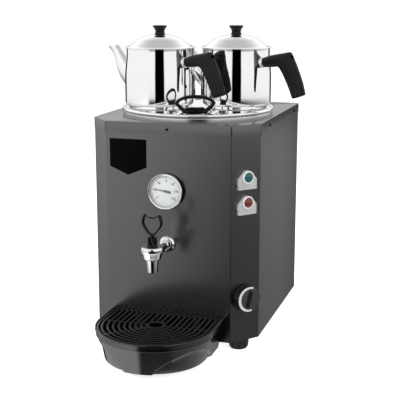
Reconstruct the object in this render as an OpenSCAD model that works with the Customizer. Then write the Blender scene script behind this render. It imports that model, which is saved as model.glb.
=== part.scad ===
// Hot water urn: a square cabinet with a boiler tank, a tap over a drip tray, and two
// teapots that stand on a loose round pot stand over the tank.
// Millimetres. +Z up and the front faces -Y. The pieces are drawn from the floor under the
// middle of the cabinet, and then moved so that the origin is under the middle of them all.

/* [Cabinet] */
// Width of the cabinet
body_w = 400; // [384:2:440]
// Depth of the cabinet
body_d = 470; // [456:2:510]
// Height of the cabinet above its feet
body_h = 500; // [480:5:560]
// How far each front corner is cut back along the front
chamfer_w = 52; // [46:1:60]
// How far each front corner is cut back along the side
chamfer_d = 60; // [52:1:68]
// Thickness of the sheet steel
sheet_t = 1.2; // [0.8:0.1:1.6]
// Height of the flange round the top cover
cover_flange_h = 25; // [20:1:30]
// Distance of the cover screws below the top
cover_screw_drop = 14; // [9:1:17]
// Height of the feet
foot_h = 25; // [20:1:34]
// Radius of a foot at its top
foot_r = 24; // [20:1:27]
// Radius of a foot at the floor
foot_tip_r = 18; // [15:1:19]

/* [Boiler] */
// Space between the boiler tank and the sides of the cabinet
tank_inset = 32; // [30:1:36]
// Sheet thickness of the boiler tank
tank_t = 1.2; // [0.8:0.1:1.6]
// Depth of the boiler tank below the cabinet top
tank_depth = 315; // [300:5:325]
// Middle of the tank to the right of the cabinet middle
tank_x = 4; // [0:1:6]
// Space between the front of the cabinet and the insulation
tank_front_gap = 31.8; // [28:0.2:38]
// Height of the tank collar above the cabinet top
collar_h = 7; // [5:0.5:10]
// How far the tank collar stands out past the inside of the tank
collar_w = 13; // [10:1:16]
// Thickness of the insulation round the tank
jacket_t = 17; // [10:1:19]
// Radius of the outer heating loop
loop_r = 96; // [70:2:104]
// Radius of the heater tube
heater_tube_r = 4.25; // [3:0.25:5]

/* [Tap] */
// Tap axis, to the right of the cabinet middle
tap_x = -1; // [-4:1:6]
// Distance of the tap axis in front of the cabinet
tap_reach = 100; // [92:1:112]
// Height of the tap shank above the floor
tap_z = 249; // [246:1:262]
// Outer radius of the tap shank
shank_r = 8.5; // [8:0.1:9.5]
// Radius of the water way
water_r = 6; // [5:0.1:6.5]
// Length of the tap outlet below the bell
outlet_l = 34; // [28:1:44]
// Outer radius of the outlet tip
outlet_r = 11.2; // [10.8:0.1:12.5]
// Radius of the wall rosette
rosette_r = 19; // [16:0.5:26]
// Height of the handle loop
loop_h = 48; // [40:1:54]
// Width of the handle loop
loop_w = 48; // [38:1:52]
// Tilt of the tap handle when it is fully open
tap_tilt = 40; // [20:1:40]
// Lift of the valve when the tap is fully open
valve_lift = 4; // [2:0.5:4]

/* [Thermometer] */
// Radius of the thermometer case
gauge_r = 39.5; // [36:0.5:44]
// Depth of the thermometer case
gauge_h = 11; // [10:0.5:14]
// Thermometer axis, to the right of the cabinet middle
gauge_x = -2; // [-10:1:8]
// Height of the thermometer axis above the floor
gauge_z = 372; // [366:1:384]
// Angle of the pointer above the left horizontal
pointer_angle = 9; // [-20:1:40]

/* [Control panel] */
// Height of the thermostat knob axis above the floor
knob_z = 128.5; // [116:0.5:150]
// Radius of the knob skirt
knob_r = 32.5; // [28:0.5:35]
// Depth of the knob
knob_h = 19; // [15:1:26]
// Turn of the grip bar from upright
knob_turn = 20; // [-60:1:60]
// Height of the green lamp above the floor
green_z = 409; // [400:1:430]
// Height of the amber lamp above the floor
amber_z = 352; // [330:1:356]
// Radius of the lamp barrels
lamp_r = 11; // [9:0.5:11.5]
// Radius of the ring round each lamp
lamp_ring_r = 14.5; // [14:0.5:16]
// Width of a lamp holder
holder_w = 48; // [42:1:54]
// How far a lamp holder stands out
holder_t = 9; // [6:0.5:12]

/* [Drip tray] */
// Radius of the tray rim
tray_r = 136; // [128:1:142]
// Middle of the tray curve in front of the cabinet
tray_reach = 85; // [80:1:96]
// Height of the tray rim above the floor
tray_top_z = 85; // [80:1:100]
// Height of the tray bottom above the floor
tray_low_z = 13; // [8:1:18]
// Wall of the tray
tray_wall = 3; // [2.5:0.25:4]
// Height of the band under the tray rim
tray_band_h = 16; // [12:1:20]
// Thickness of the grille
grille_t = 3; // [2:0.5:4]
// Radius of the finger hole in the grille
finger_r = 16; // [14:0.5:17]
// Distance from one grille bar to the next
bar_pitch = 12.4; // [12:0.2:13]
// Width of a slot between grille bars
slot_w = 6.8; // [5:0.2:8]
// How far the tray is lifted to free it from its hooks
tray_lift = 12; // [10:1:12]

/* [Pot stand] */
// Turn of the pot stand on the boiler
stand_turn = 17.3; // [10:0.1:24]
// How far the rolled edge of the pot stand reaches past the collar
bead_over = 2; // [1:0.5:5]
// Height of the rolled edge
bead_h = 8; // [6:0.5:10]
// Gap between the two pots
pot_gap = 13; // [8:1:15]
// Distance of the pots behind the middle of the stand
pot_back = 22; // [18:1:25]
// How far the steam ports stay inside the tank wall
port_in = 113; // [108:1:128]
// Radius of the filling hole
fill_r = 44; // [38:1:45]
// Radius of the filling lid
fill_lid_r = 52.5; // [49:0.5:53]
// Distance of the filling hole's middle from the tank wall
fill_in = 50; // [49:1:54]
// Distance of the filling hole to the left of the middle line
fill_side = 6.5; // [2:0.5:8]

/* [Teapots] */
// Room that the stand's radius leaves beside the width of one pot
pot_room = 12; // [9:1:20]
// Height of a pot without its lid
pot_h = 142; // [136:1:150]
// How far the capsule base stands back from the side of the pot
capsule_in = 9.5; // [8:0.5:14]
// Sheet thickness of a pot
pot_t = 1; // [0.8:0.1:1.4]
// How far the lid stands back from the side of the pot
lid_in = 0.5; // [0:0.25:1.5]
// Height of the lid dome
dome_h = 32; // [26:1:36]
// Radius of the lid knob
lid_knob_r = 17.5; // [15:0.5:22]
// Height of the lid knob
lid_knob_h = 24; // [20:1:30]
// Direction of the pot handles, towards the front from the stand's right
handle_turn = 42; // [38:1:46]
// Radius of the handle ferrule
ferrule_r = 12; // [11:0.5:13]

/* [Clearances] */
// Rest gap under pieces that lift off
seat_gap = 0.3; // [0.3:0.05:0.5]
// Radial clearance of a turning or sliding shaft
shaft_gap = 0.05; // [0.02:0.01:0.08]
// Radial clearance of fixed pieces in their holes
hole_gap = 0.1; // [0.05:0.05:0.2]

/* [Hidden] */
$fn = 64;
top_z = foot_h + body_h;
front_y = -body_d / 2;
tank_r = body_w / 2 - tank_inset;
tank_y = front_y + tank_front_gap + jacket_t + tank_t + tank_r;
collar_r = tank_r + collar_w;
bead_r = collar_r + bead_over;
port_r = tank_r - port_in;
fill_front = tank_r - fill_in;
pot_r = (bead_r - pot_room) / 2;
pot_side = pot_r + pot_gap / 2;
capsule_r = pot_r - capsule_in;
lid_r = pot_r - lid_in;
chamfer_l = norm([chamfer_w, chamfer_d]);
eps = 0.5;

// ---- helpers -----------------------------------------------------------------

// Outline of the cabinet, drawn in by g all round
function plan(g) = let (
    x = body_w / 2 - g,
    y = body_d / 2 - g,
    fold_x = body_w / 2 - chamfer_w - g * (chamfer_l - chamfer_w) / chamfer_d,
    fold_y = body_d / 2 - chamfer_d - g * (chamfer_l - chamfer_d) / chamfer_w)
    [[-x, y], [-x, -fold_y], [-fold_x, -y], [fold_x, -y], [x, -fold_y], [x, y]];

// Points on an arc
function arc(cx, cy, r, a0, a1, n = 6) =
    [for (i = [0 : n]) let (a = a0 + (a1 - a0) * i / n) [cx + r * cos(a), cy + r * sin(a)]];

// Closed skin over rings of points; the last ring meets the first where it is a loop
module skin(rings, loop = false) {
    n = len(rings[0]);
    m = len(rings);
    spans = loop ? m : m - 1;
    caps = loop ? [] : [[for (i = [n - 1 : -1 : 0]) i], [for (i = [0 : n - 1]) (m - 1) * n + i]];
    polyhedron(
        points = [for (ring = rings) each ring],
        faces = concat(caps, [for (j = [0 : spans - 1], i = [0 : n - 1])
            let (a = j * n + i, b = j * n + (i + 1) % n,
                 c = ((j + 1) % m) * n + (i + 1) % n, d = ((j + 1) % m) * n + i)
            each [[a, b, c], [a, c, d]]]));
}

// Section between an inner and an outer point of the XZ plane, with half its thickness;
// p is 2 for an ellipse and more for a squarer section
function section(inner, outer, half_t, p = 2, n = 24) = [
    for (i = [0 : n - 1]) let (
        a = 360 * i / n,
        w = sign(cos(a)) * pow(abs(cos(a)), 2 / p),
        t = sign(sin(a)) * pow(abs(sin(a)), 2 / p),
        q = (inner + outer) / 2 + w * (outer - inner) / 2)
    [q[0], half_t * t, q[1]]];

// Things on the front panel and on the control panel: +Z outwards, +Y up
module on_front(x, z) translate([x, front_y, z]) rotate([90, 0, 0]) children();
module on_control(z)
    translate([body_w / 2 - chamfer_w / 2, front_y + chamfer_d / 2, z])
        rotate([90, 0, atan2(chamfer_d, chamfer_w)]) children();
module on_tank() translate([tank_x, tank_y, 0]) children();
module ring(h, r, bore) {
    difference() {
        cylinder(h = h, r = r);
        translate([0, 0, -eps]) cylinder(h = h + 2 * eps, r = bore);
    }
}
module walls(h, g0, g1) linear_extrude(h) difference() {
    polygon(plan(g0));
    polygon(plan(g1));
}

// ---- screws ------------------------------------------------------------------

case_screw_r = 1.9;
case_screw_l = 8;
case_head_r = 4;
side_screw_back = 140.5;
side_screw_ahead = 57;
module each_cover_screw() {
    z = top_z - cover_screw_drop;
    on_front(0, z) translate([0, 0, sheet_t]) children();
    for (s = [-1, 1], y = [front_y + side_screw_back, -front_y - side_screw_ahead])
        translate([s * (body_w / 2 + sheet_t), y, z]) rotate([0, s * 90, 0]) children();
}
back_screw_in = 9;
module each_back_screw()
    for (s = [-1, 1], f = [0.06, 0.5, 0.88])
        translate([s * (body_w / 2 - back_screw_in), body_d / 2 + sheet_t, foot_h + f * body_h])
            rotate([-90, 0, 0]) children();
module screw_hole()
    translate([0, 0, -2 * sheet_t - eps]) cylinder(h = 2 * sheet_t + 2 * eps, r = case_screw_r + hole_gap);
module case_screw() {
    rotate_extrude() polygon([[0, 0], [case_head_r, 0], [case_head_r, 0.6], [case_head_r - 0.8, 1.9],
        [case_head_r - 2.2, 2.5], [0, 2.6]]);
    translate([0, 0, -case_screw_l]) cylinder(h = case_screw_l + 0.2, r = case_screw_r);
}
module case_screws() color("silver") {
    each_cover_screw() case_screw();
    each_back_screw() case_screw();
}

// ---- cabinet -----------------------------------------------------------------

seam_x = body_w / 2 - chamfer_w;
wall_h = body_h - sheet_t;
return_w = 18;
seam_flange_w = 12;
base_flange_h = 18;
gland_x = -120;
gland_z = foot_h + 55;
gland_r = 8;
cable_r = 4.2;

module control_side() translate([seam_x, -body_d]) square([body_w, 2 * body_d]);
module wrapped_wall() {
    difference() {
        polygon(plan(0));
        polygon(plan(sheet_t));
        translate([-body_w / 2 + return_w, 0]) square([body_w - 2 * return_w, body_d]);
    }
}

// Flange of the control panel that laps behind the front panel at the seam
module seam_flange(h0, h1) translate([seam_x - seam_flange_w, front_y + sheet_t, h0])
    cube([seam_flange_w + 0.7, sheet_t, h1 - h0]);

module cabinet_wrap() color("silver") difference() {
    translate([0, 0, foot_h]) linear_extrude(wall_h) difference() {
        wrapped_wall();
        control_side();
    }
    seam_flange(foot_h - eps, top_z);
    each_cover_screw() screw_hole();
    each_back_screw() screw_hole();
    on_front(tap_x, tap_z) translate([0, 0, -sheet_t - eps])
        cylinder(h = sheet_t + 2 * eps, r = shank_r + hole_gap);
    on_front(gauge_x, gauge_z) translate([0, 0, -sheet_t - eps])
        cylinder(h = sheet_t + 2 * eps, r = stem_r + hole_gap);
}

module control_panel() color("silver") difference() {
    union() {
        translate([0, 0, foot_h]) linear_extrude(wall_h) intersection() {
            wrapped_wall();
            control_side();
        }
        seam_flange(foot_h + base_flange_h + 2, foot_h + wall_h);
    }
    each_cover_screw() screw_hole();
    each_back_screw() screw_hole();
    for (z = [green_z, amber_z]) on_control(z) translate([0, 0, -2 * sheet_t])
        cylinder(h = 4 * sheet_t, r = lamp_r + hole_gap);
    on_control(knob_z) translate([0, 0, -2 * sheet_t])
        cylinder(h = 4 * sheet_t, r = bush_r + hole_gap);
}

vent_w = 4;
vent_h = 34;
vent_pitch = 12;
vent_count = 9;
module back_panel() color("silver") difference() {
    edge = 3;
    translate([-body_w / 2 + edge, body_d / 2, foot_h + edge])
        cube([body_w - 2 * edge, sheet_t, body_h - cover_flange_h - 2 * edge]);
    each_back_screw() screw_hole();
    translate([gland_x, body_d / 2 - eps, gland_z]) rotate([-90, 0, 0])
        cylinder(h = sheet_t + 2 * eps, r = gland_r + hole_gap);
    for (i = [0 : vent_count - 1])
        translate([20 + i * vent_pitch, body_d / 2 - eps, gland_z - vent_h / 2])
            cube([vent_w, sheet_t + 2 * eps, vent_h]);
}

foot_in = 44;
foot_end = 48;
module each_foot()
    for (s = [-1, 1], y = [-1, 1])
        translate([s * (body_w / 2 - foot_in), y * (body_d / 2 - foot_end), 0]) children();
foot_bolt_r = 3;
module base_plate() color("gray") difference() {
    translate([0, 0, foot_h]) union() {
        linear_extrude(sheet_t) polygon(plan(sheet_t));
        walls(base_flange_h, sheet_t, 2 * sheet_t);
    }
    each_foot() translate([0, 0, foot_h - eps]) cylinder(h = 4, r = foot_bolt_r + hole_gap);
    for (s = [-1, 1], i = [0 : 5])
        translate([s * 70 - 30 + i * vent_pitch, -45, foot_h - eps]) cube([vent_w, 90, sheet_t + 2 * eps]);
}

module top_cover() color("lightgray") difference() {
    union() {
        translate([0, 0, top_z - sheet_t]) linear_extrude(sheet_t) polygon(plan(-sheet_t));
        translate([0, 0, top_z - cover_flange_h]) walls(cover_flange_h, -sheet_t, 0);
    }
    each_cover_screw() screw_hole();
    on_tank() translate([0, 0, top_z - sheet_t - eps])
        cylinder(h = sheet_t + 2 * eps, r = tank_r + tank_t + hole_gap);
    // open slots where the flange folds round the front corners
    for (k = [1 : 4]) let (q = plan(-sheet_t)[k], a = k < 3 ? 180 + [20.5, 65.5][k - 1] : [-65.5, -20.5][k - 3])
        translate([q[0], q[1], top_z - cover_flange_h - eps]) rotate([0, 0, a])
            translate([-6, -1.25, 0]) cube([12, 2.5, cover_flange_h - 3]);
}

// Fluted feet on a flat sole
foot_flutes = 10;
sole_h = 2;
recess_r = 6.5;
recess_h = 9;
module feet() color("black") each_foot() difference() {
    union() {
        translate([0, 0, sole_h]) cylinder(h = foot_h - sole_h, r1 = foot_tip_r, r2 = foot_r);
        cylinder(h = sole_h, r = foot_tip_r - 1.5);
    }
    for (i = [0 : foot_flutes - 1]) rotate([0, 0, 360 * (i + 0.5) / foot_flutes])
        translate([foot_r + 1.5, 0, sole_h]) cylinder(h = foot_h - 4 - sole_h, r = 4.5, $fn = 24);
    translate([0, 0, -eps]) cylinder(h = recess_h + eps, r = recess_r);
    cylinder(h = foot_h + eps, r = foot_bolt_r + hole_gap);
}
module foot_bolts() color("gray") each_foot() {
    translate([0, 0, recess_h - 3.5]) cylinder(h = 3.5, r = 5);
    translate([0, 0, recess_h - 0.2]) cylinder(h = foot_h - recess_h + 8, r = foot_bolt_r);
    translate([0, 0, foot_h + sheet_t]) ring(4, 5, foot_bolt_r + 0.01);
}

// ---- boiler ------------------------------------------------------------------

tank_low = top_z - tank_depth;
rim_top = top_z + collar_h;
tank_corner = 12;
element_bore = 20;
probe_r = 4;
probe_l = 46;
stem_r = 6.5;
well_r = 5;
well_l = 52;
well_turn = -41;
well_z = 290;

// Outer profile of the tank wall, then back along the inside
module boiler_tank() color("silver") difference() {
    on_tank() rotate_extrude($fn = 128) polygon(concat(
        [[0, tank_low]],
        arc(tank_r + tank_t - tank_corner, tank_low + tank_corner, tank_corner, -90, 0),
        [[tank_r + tank_t, rim_top - tank_t], [collar_r - tank_t, rim_top - tank_t],
         [collar_r - tank_t, top_z], [collar_r, top_z]],
        arc(collar_r - 2, rim_top - 2, 2, 0, 90, 3),
        [[tank_r, rim_top]],
        arc(tank_r + tank_t - tank_corner, tank_low + tank_corner, tank_corner - tank_t, 0, -90),
        [[0, tank_low + tank_t]]));
    on_tank() translate([0, 0, tank_low - eps]) cylinder(h = 4, r = element_bore + hole_gap);
    tank_crossings(hole_gap);
}

// Tap shank, thermometer probe and bulb well, where they cross the tank wall
module tank_crossings(g) {
    translate([tap_x, tank_y, tap_z]) rotate([90, 0, 0]) cylinder(h = body_d / 2, r = shank_r + g);
    translate([gauge_x, tank_y, gauge_z]) rotate([90, 0, 0]) cylinder(h = body_d / 2, r = probe_r + g);
    on_tank() rotate([0, 0, well_turn]) translate([tank_r - well_l, 0, well_z]) rotate([0, 90, 0])
        cylinder(h = well_l + jacket_t + 8, r = well_r + g);
}

module tank_jacket() color("khaki") difference() {
    on_tank() translate([0, 0, tank_low])
        ring(tank_depth - sheet_t - 6, tank_r + tank_t + jacket_t, tank_r + tank_t);
    tank_crossings(1);
}

head_r = 28;
socket_l = 16;
gasket_t = 2;
loop_z = tank_low + 26;
pin_r = 2.5;
hub_arm = 14;
// Riser from the head and arm out to a loop; the arm reaches just past the loop's tube
module element_leg(a, r) {
    rotate([0, 0, a]) {
        translate([hub_arm, 0, tank_low + 6]) cylinder(h = loop_z - tank_low - 1, r = heater_tube_r + 1);
        translate([hub_arm, 0, loop_z]) rotate([0, 90, 0])
            cylinder(h = r - hub_arm + heater_tube_r + 1, r = heater_tube_r + 0.5);
    }
}
module heating_element() color("darkgray") on_tank() difference() {
    union() {
        translate([0, 0, tank_low + tank_t + gasket_t]) cylinder(h = 6, r = head_r);
        translate([0, 0, tank_low - socket_l]) cylinder(h = socket_l + 4, r = element_bore);
        for (k = [0, 1]) let (r = loop_r - k * 34, a0 = k * 90) {
            element_leg(a0, r);
            element_leg(a0 + 60, r);
            translate([0, 0, loop_z]) rotate([0, 0, a0 + 60]) rotate_extrude(angle = 300)
                translate([r, 0]) circle(r = heater_tube_r, $fn = 24);
        }
    }
    for (k = [0 : 3]) rotate([0, 0, 45 + 90 * k]) translate([11, 0, tank_low - socket_l - eps])
        cylinder(h = 10, r = pin_r);
}
module element_gasket() color("black") on_tank()
    translate([0, 0, tank_low + tank_t]) ring(gasket_t, head_r, element_bore + hole_gap);
module element_nut() color("goldenrod") on_tank() translate([0, 0, tank_low - 8]) difference() {
    cylinder(h = 8, r = 31, $fn = 6);
    translate([0, 0, -eps]) cylinder(h = 8 + 2 * eps, r = element_bore + hole_gap, $fn = 64);
}
module dry_boil_cutout() color("dimgray") on_tank() translate([70, 0, tank_low]) {
    translate([0, 0, -3]) cylinder(h = 3, r = 12);
    translate([0, 0, -13]) cylinder(h = 10.5, r = 8.5);
    for (s = [-1, 1]) translate([s * 5 - 0.4, -3, -22]) cube([0.8, 6, 10]);
}
module bulb_well() color("goldenrod") on_tank()
    rotate([0, 0, well_turn]) translate([tank_r - well_l, 0, well_z]) rotate([0, 90, 0]) difference() {
        union() {
            cylinder(h = well_l + jacket_t + 6, r = well_r);
            translate([0, 0, well_l + jacket_t + tank_t + 0.2]) cylinder(h = 6, r = 8.5, $fn = 6);
        }
        translate([0, 0, 3]) cylinder(h = well_l + jacket_t + 8, r = well_r - 1.5);
    }

// ---- control panel -----------------------------------------------------------

// Lamp holder: a square foot that narrows to the lamp ring
holder_low = -28;
holder_step = -5;
module holder_outline() {
    w = holder_w / 2;
    reach = norm([w, holder_step]);
    a = atan2(holder_step, w) + acos(lamp_ring_r / reach);
    polygon([[-w, holder_low], [w, holder_low], [w, holder_step],
        [lamp_ring_r * cos(a), lamp_ring_r * sin(a)], [-lamp_ring_r * cos(a), lamp_ring_r * sin(a)],
        [-w, holder_step]]);
    circle(r = lamp_ring_r);
}
module each_lamp() for (z = [green_z, amber_z]) on_control(z) children();
module lamp_holders() color("gainsboro") each_lamp() difference() {
    linear_extrude(holder_t) holder_outline();
    translate([0, 0, -eps]) cylinder(h = holder_t + 2 * eps, r = lamp_r + hole_gap);
}
lens_seat = holder_t + 1.5;
barrel_l = 30;
ring_top = holder_t + 3.5;
module lamp_barrels() color("white") each_lamp() {
    translate([0, 0, -barrel_l]) cylinder(h = barrel_l + lens_seat, r = lamp_r);
    translate([0, 0, holder_t]) ring(ring_top - holder_t, lamp_ring_r, lamp_r + hole_gap);
    translate([0, 0, holder_t]) ring(lens_seat - holder_t, lamp_ring_r - 1, lamp_r - 1);
    for (s = [-1, 1]) translate([s * 5 - 0.4, -3, -barrel_l - 8]) cube([0.8, 6, 9]);
}
module lamp_nuts() color("dimgray") each_lamp() translate([0, 0, -sheet_t - 5]) difference() {
    cylinder(h = 5, r = lamp_r + 4, $fn = 6);
    translate([0, 0, -eps]) cylinder(h = 5 + 2 * eps, r = lamp_r + 0.02, $fn = 64);
}
// Domed lens that sits in the lamp ring
module lens(z) on_control(z) translate([0, 0, lens_seat]) rotate_extrude() polygon(concat(
    [[0, 0], [lamp_r, 0], [lamp_r, 2]], arc(0, 2 - 18, norm([lamp_r, 18]), 58.6, 90, 8)));
module lens_green() color("teal") lens(green_z);
module lens_amber() color("sienna") lens(amber_z);

bush_r = 5;
spindle_r = 3;
module thermostat() color("gray") on_control(knob_z) difference() {
    union() {
        translate([0, 0, -34]) cylinder(h = 34 - 2 * sheet_t, r = 21);
        translate([0, 0, -2 * sheet_t - 1]) cylinder(h = 2 * sheet_t + 1, r = bush_r);
        for (s = [-1, 1]) translate([s * 10 - 3, -0.4, -42]) cube([6, 0.8, 9]);
    }
    translate([0, 0, -20]) cylinder(h = 30, r = spindle_r + shaft_gap);
}
module thermostat_spindle() color("silver") on_control(knob_z)
    translate([0, 0, -18]) cylinder(h = 18 + knob_h - 7, r = spindle_r);
module thermostat_knob() color("dimgray") on_control(knob_z) difference() {
    union() {
        rotate_extrude(convexity = 4) polygon([[spindle_r + hole_gap, 1.2], [knob_r, 1.2],
            [knob_r, 4.5], [knob_r - 3, 6], [knob_r - 4.5, knob_h - 1], [knob_r - 5.5, knob_h],
            [knob_r - 9.5, knob_h], [knob_r - 10.5, knob_h - 3], [spindle_r + hole_gap, knob_h - 3]]);
        translate([0, 0, knob_h - 5]) cylinder(h = 2.5, r = spindle_r + 2);
        rotate([0, 0, -knob_turn]) intersection() {
            translate([-4.5, -knob_r, knob_h - 5]) cube([9, 2 * knob_r, 8]);
            translate([0, 0, knob_h - 5]) cylinder(h = 8, r1 = knob_r - 8.5, r2 = knob_r - 10);
        }
    }
    cylinder(h = knob_h - 6, r = spindle_r + hole_gap);
}

// ---- thermometer -------------------------------------------------------------

gauge_wall = 1.5;
dial_z = gauge_h - 4;
probe_end = -front_y + tank_y - tank_r + probe_l;
pointer_r = 1;
module thermometer_case() color("black") on_front(gauge_x, gauge_z) rotate_extrude(convexity = 4)
    polygon([[stem_r + hole_gap, 0], [gauge_r - 1, 0], [gauge_r, 1], [gauge_r, gauge_h],
        [gauge_r - gauge_wall, gauge_h], [gauge_r - gauge_wall, dial_z],
        [gauge_r - gauge_wall - 2, dial_z], [gauge_r - gauge_wall - 2, gauge_wall],
        [stem_r + hole_gap, gauge_wall]]);
module thermometer_stem() color("goldenrod") on_front(gauge_x, gauge_z) difference() {
    union() {
        translate([0, 0, -16]) cylinder(h = 16 + gauge_wall, r = stem_r);
        translate([0, 0, gauge_wall]) cylinder(h = dial_z - gauge_wall, r = stem_r + 2.5);
        translate([0, 0, -probe_end]) cylinder(h = probe_end - 10, r = probe_r);
    }
    cylinder(h = gauge_h, r = pointer_r + shaft_gap);
}
module thermometer_nut() color("goldenrod") on_front(gauge_x, gauge_z)
    translate([0, 0, -sheet_t - 5]) difference() {
        cylinder(h = 5, r = 11, $fn = 6);
        translate([0, 0, -eps]) cylinder(h = 5 + 2 * eps, r = stem_r + 0.02, $fn = 64);
    }
module thermometer_dial() color("white") on_front(gauge_x, gauge_z)
    translate([0, 0, dial_z]) ring(0.8, gauge_r - gauge_wall - hole_gap, pointer_r + 0.5);
glass_t = 1.5;
module thermometer_glass() color("lightblue", 0.4) on_front(gauge_x, gauge_z)
    translate([0, 0, gauge_h]) cylinder(h = glass_t, r = gauge_r - 0.2);
module thermometer_bezel() color("silver") on_front(gauge_x, gauge_z) rotate_extrude(convexity = 4)
    polygon([[gauge_r + hole_gap, gauge_h - 6], [gauge_r + 1.2, gauge_h - 6],
        [gauge_r + 1.2, gauge_h + glass_t + 0.6], [gauge_r + 0.2, gauge_h + glass_t + 1.6],
        [gauge_r - 2, gauge_h + glass_t + 1.2], [gauge_r - 2.6, gauge_h + glass_t],
        [gauge_r + hole_gap, gauge_h + glass_t]]);
// Needle with a round hub, a long point and a short tail
module thermometer_pointer() color("black") on_front(gauge_x, gauge_z) {
    hub_z = dial_z + 1.3;
    translate([0, 0, 1]) cylinder(h = hub_z, r = pointer_r);
    translate([0, 0, hub_z]) cylinder(h = 1.2, r = 3.5);
    translate([0, 0, hub_z]) rotate([0, 0, 180 - pointer_angle]) linear_extrude(0.8)
        polygon([[-13, -1.8], [-13, 1.8], [0, 1.1], [gauge_r * 0.72, 0.35], [gauge_r * 0.72, -0.35],
            [0, -1.1]]);
}

// ---- tap ---------------------------------------------------------------------

tap_y = front_y - tap_reach;
bell_z = tap_z - 5.2;
tip_z = bell_z - outlet_l;
bell_r = 15.5;
cup_r = 25.3;
cup_low = bell_z + 13;
cup_top = bell_z + 25;
chamber_r = 12.5;
seat_z = tap_z - 9;
boss_r = 10.8;
boss_l = 34;
shank_start = 24;
module on_tap() translate([tap_x, tap_y, 0]) children();
module along_shank(d) translate([tap_x, tap_y + d, tap_z]) rotate([-90, 0, 0]) children();

module tap_body() color("silver") difference() {
    union() {
        on_tap() rotate_extrude() polygon(concat(
            [[0, tip_z], [outlet_r - 0.8, tip_z], [outlet_r, tip_z + 0.8], [outlet_r + 1.6, bell_z - 12],
             [bell_r - 2.2, bell_z], [bell_r + 1.5, bell_z + 0.5], [cup_r - 3.4, cup_low - 1],
             [cup_r - 2.6, cup_low]],
            arc(cup_r - 1.5, cup_low + 3.4, 1.5, -60, 60, 4),
            [[cup_r - 1.6, cup_top - 1], [cup_r - 3, cup_top], [0, cup_top]]));
        along_shank(0) cylinder(h = boss_l, r = boss_r);
    }
    on_tap() {
        translate([0, 0, tip_z - eps]) cylinder(h = outlet_l + 12, r = water_r);
        translate([0, 0, tip_z - eps]) cylinder(h = outlet_l - 6, r = outlet_r - 2.6);
        translate([0, 0, seat_z]) cylinder(h = 50, r = chamber_r);
        translate([0, -15, cup_top - 6]) rotate([90, 0, 0]) cylinder(h = 12, r = 1.6, $fn = 24);
    }
    along_shank(0) cylinder(h = shank_start + eps, r = water_r);
    along_shank(shank_start) cylinder(h = boss_l, r = shank_r + hole_gap);
}
shank_end = tap_reach - front_y + tank_y - tank_r + 18;
module tap_shank() color("silver") along_shank(shank_start) difference() {
    cylinder(h = shank_end - shank_start, r = shank_r);
    translate([0, 0, -eps]) cylinder(h = shank_end + 2 * eps, r = water_r);
}
module tap_rosette() color("silver") along_shank(tap_reach) rotate([180, 0, 0]) rotate_extrude(convexity = 4)
    polygon(concat([[shank_r + hole_gap, 0], [rosette_r, 0]],
        arc(rosette_r - 8, 1.5, 8, 0, 80, 8), [[shank_r + 1.5, 9.6], [shank_r + hole_gap, 9.6]]));
seal_t = 3;
seal_r = 15;
// Distance of the seal's face from the tank axis: its edges just meet the curved wall
seal_reach = sqrt(pow(tank_r, 2) - pow(seal_r + abs(tap_x - tank_x), 2)) - 0.02;
module in_tank_on_shank(d) along_shank(-tap_y + tank_y - seal_reach + d) children();
module tap_seal() color("black") in_tank_on_shank(0) ring(seal_t, seal_r, shank_r + hole_gap);
module tap_nut() color("goldenrod") in_tank_on_shank(seal_t) difference() {
    cylinder(h = 7, r = 14.5, $fn = 6);
    translate([0, 0, -eps]) cylinder(h = 7 + 2 * eps, r = shank_r + 0.02, $fn = 64);
}

// Black bonnet: a plug in the chamber and a ribbed hub with a slot for the handle
hub_r = 10.5;
hub_top = cup_top + 20;
plug_z = cup_top - 7;
slot_z = cup_top + 4;
handle_pin_z = cup_top + 14.5;
handle_pin_r = 1.5;
tongue_w = 8;
slot_gap = 0.35;
plunger_r = 3;
module tap_bonnet() color("black") on_tap() difference() {
    union() {
        translate([0, 0, plug_z]) cylinder(h = cup_top - plug_z + eps, r = chamber_r - hole_gap);
        translate([0, 0, cup_top]) cylinder(h = hub_top - cup_top, r = hub_r - 1);
        translate([0, 0, cup_top]) cylinder(h = 2.5, r = hub_r + 1);
        for (i = [0 : 11]) rotate([0, 0, 30 * i + 15])
            translate([hub_r - 1.2, 0, cup_top]) cylinder(h = hub_top - cup_top - 1, r = 1.2, $fn = 16);
    }
    translate([0, 0, plug_z - eps]) cylinder(h = hub_top - plug_z + 2 * eps, r = plunger_r + shaft_gap);
    translate([-tongue_w / 2 - slot_gap, -hub_r - 2, slot_z])
        cube([tongue_w + 2 * slot_gap, 2 * hub_r + 4, hub_top - slot_z + eps]);
    translate([-hub_r - 2, 0, handle_pin_z]) rotate([0, 90, 0])
        cylinder(h = 2 * hub_r + 4, r = handle_pin_r + shaft_gap);
}
tongue_t = 9;
bar_t = 5;
loop_low = hub_top + 6.5;
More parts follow.
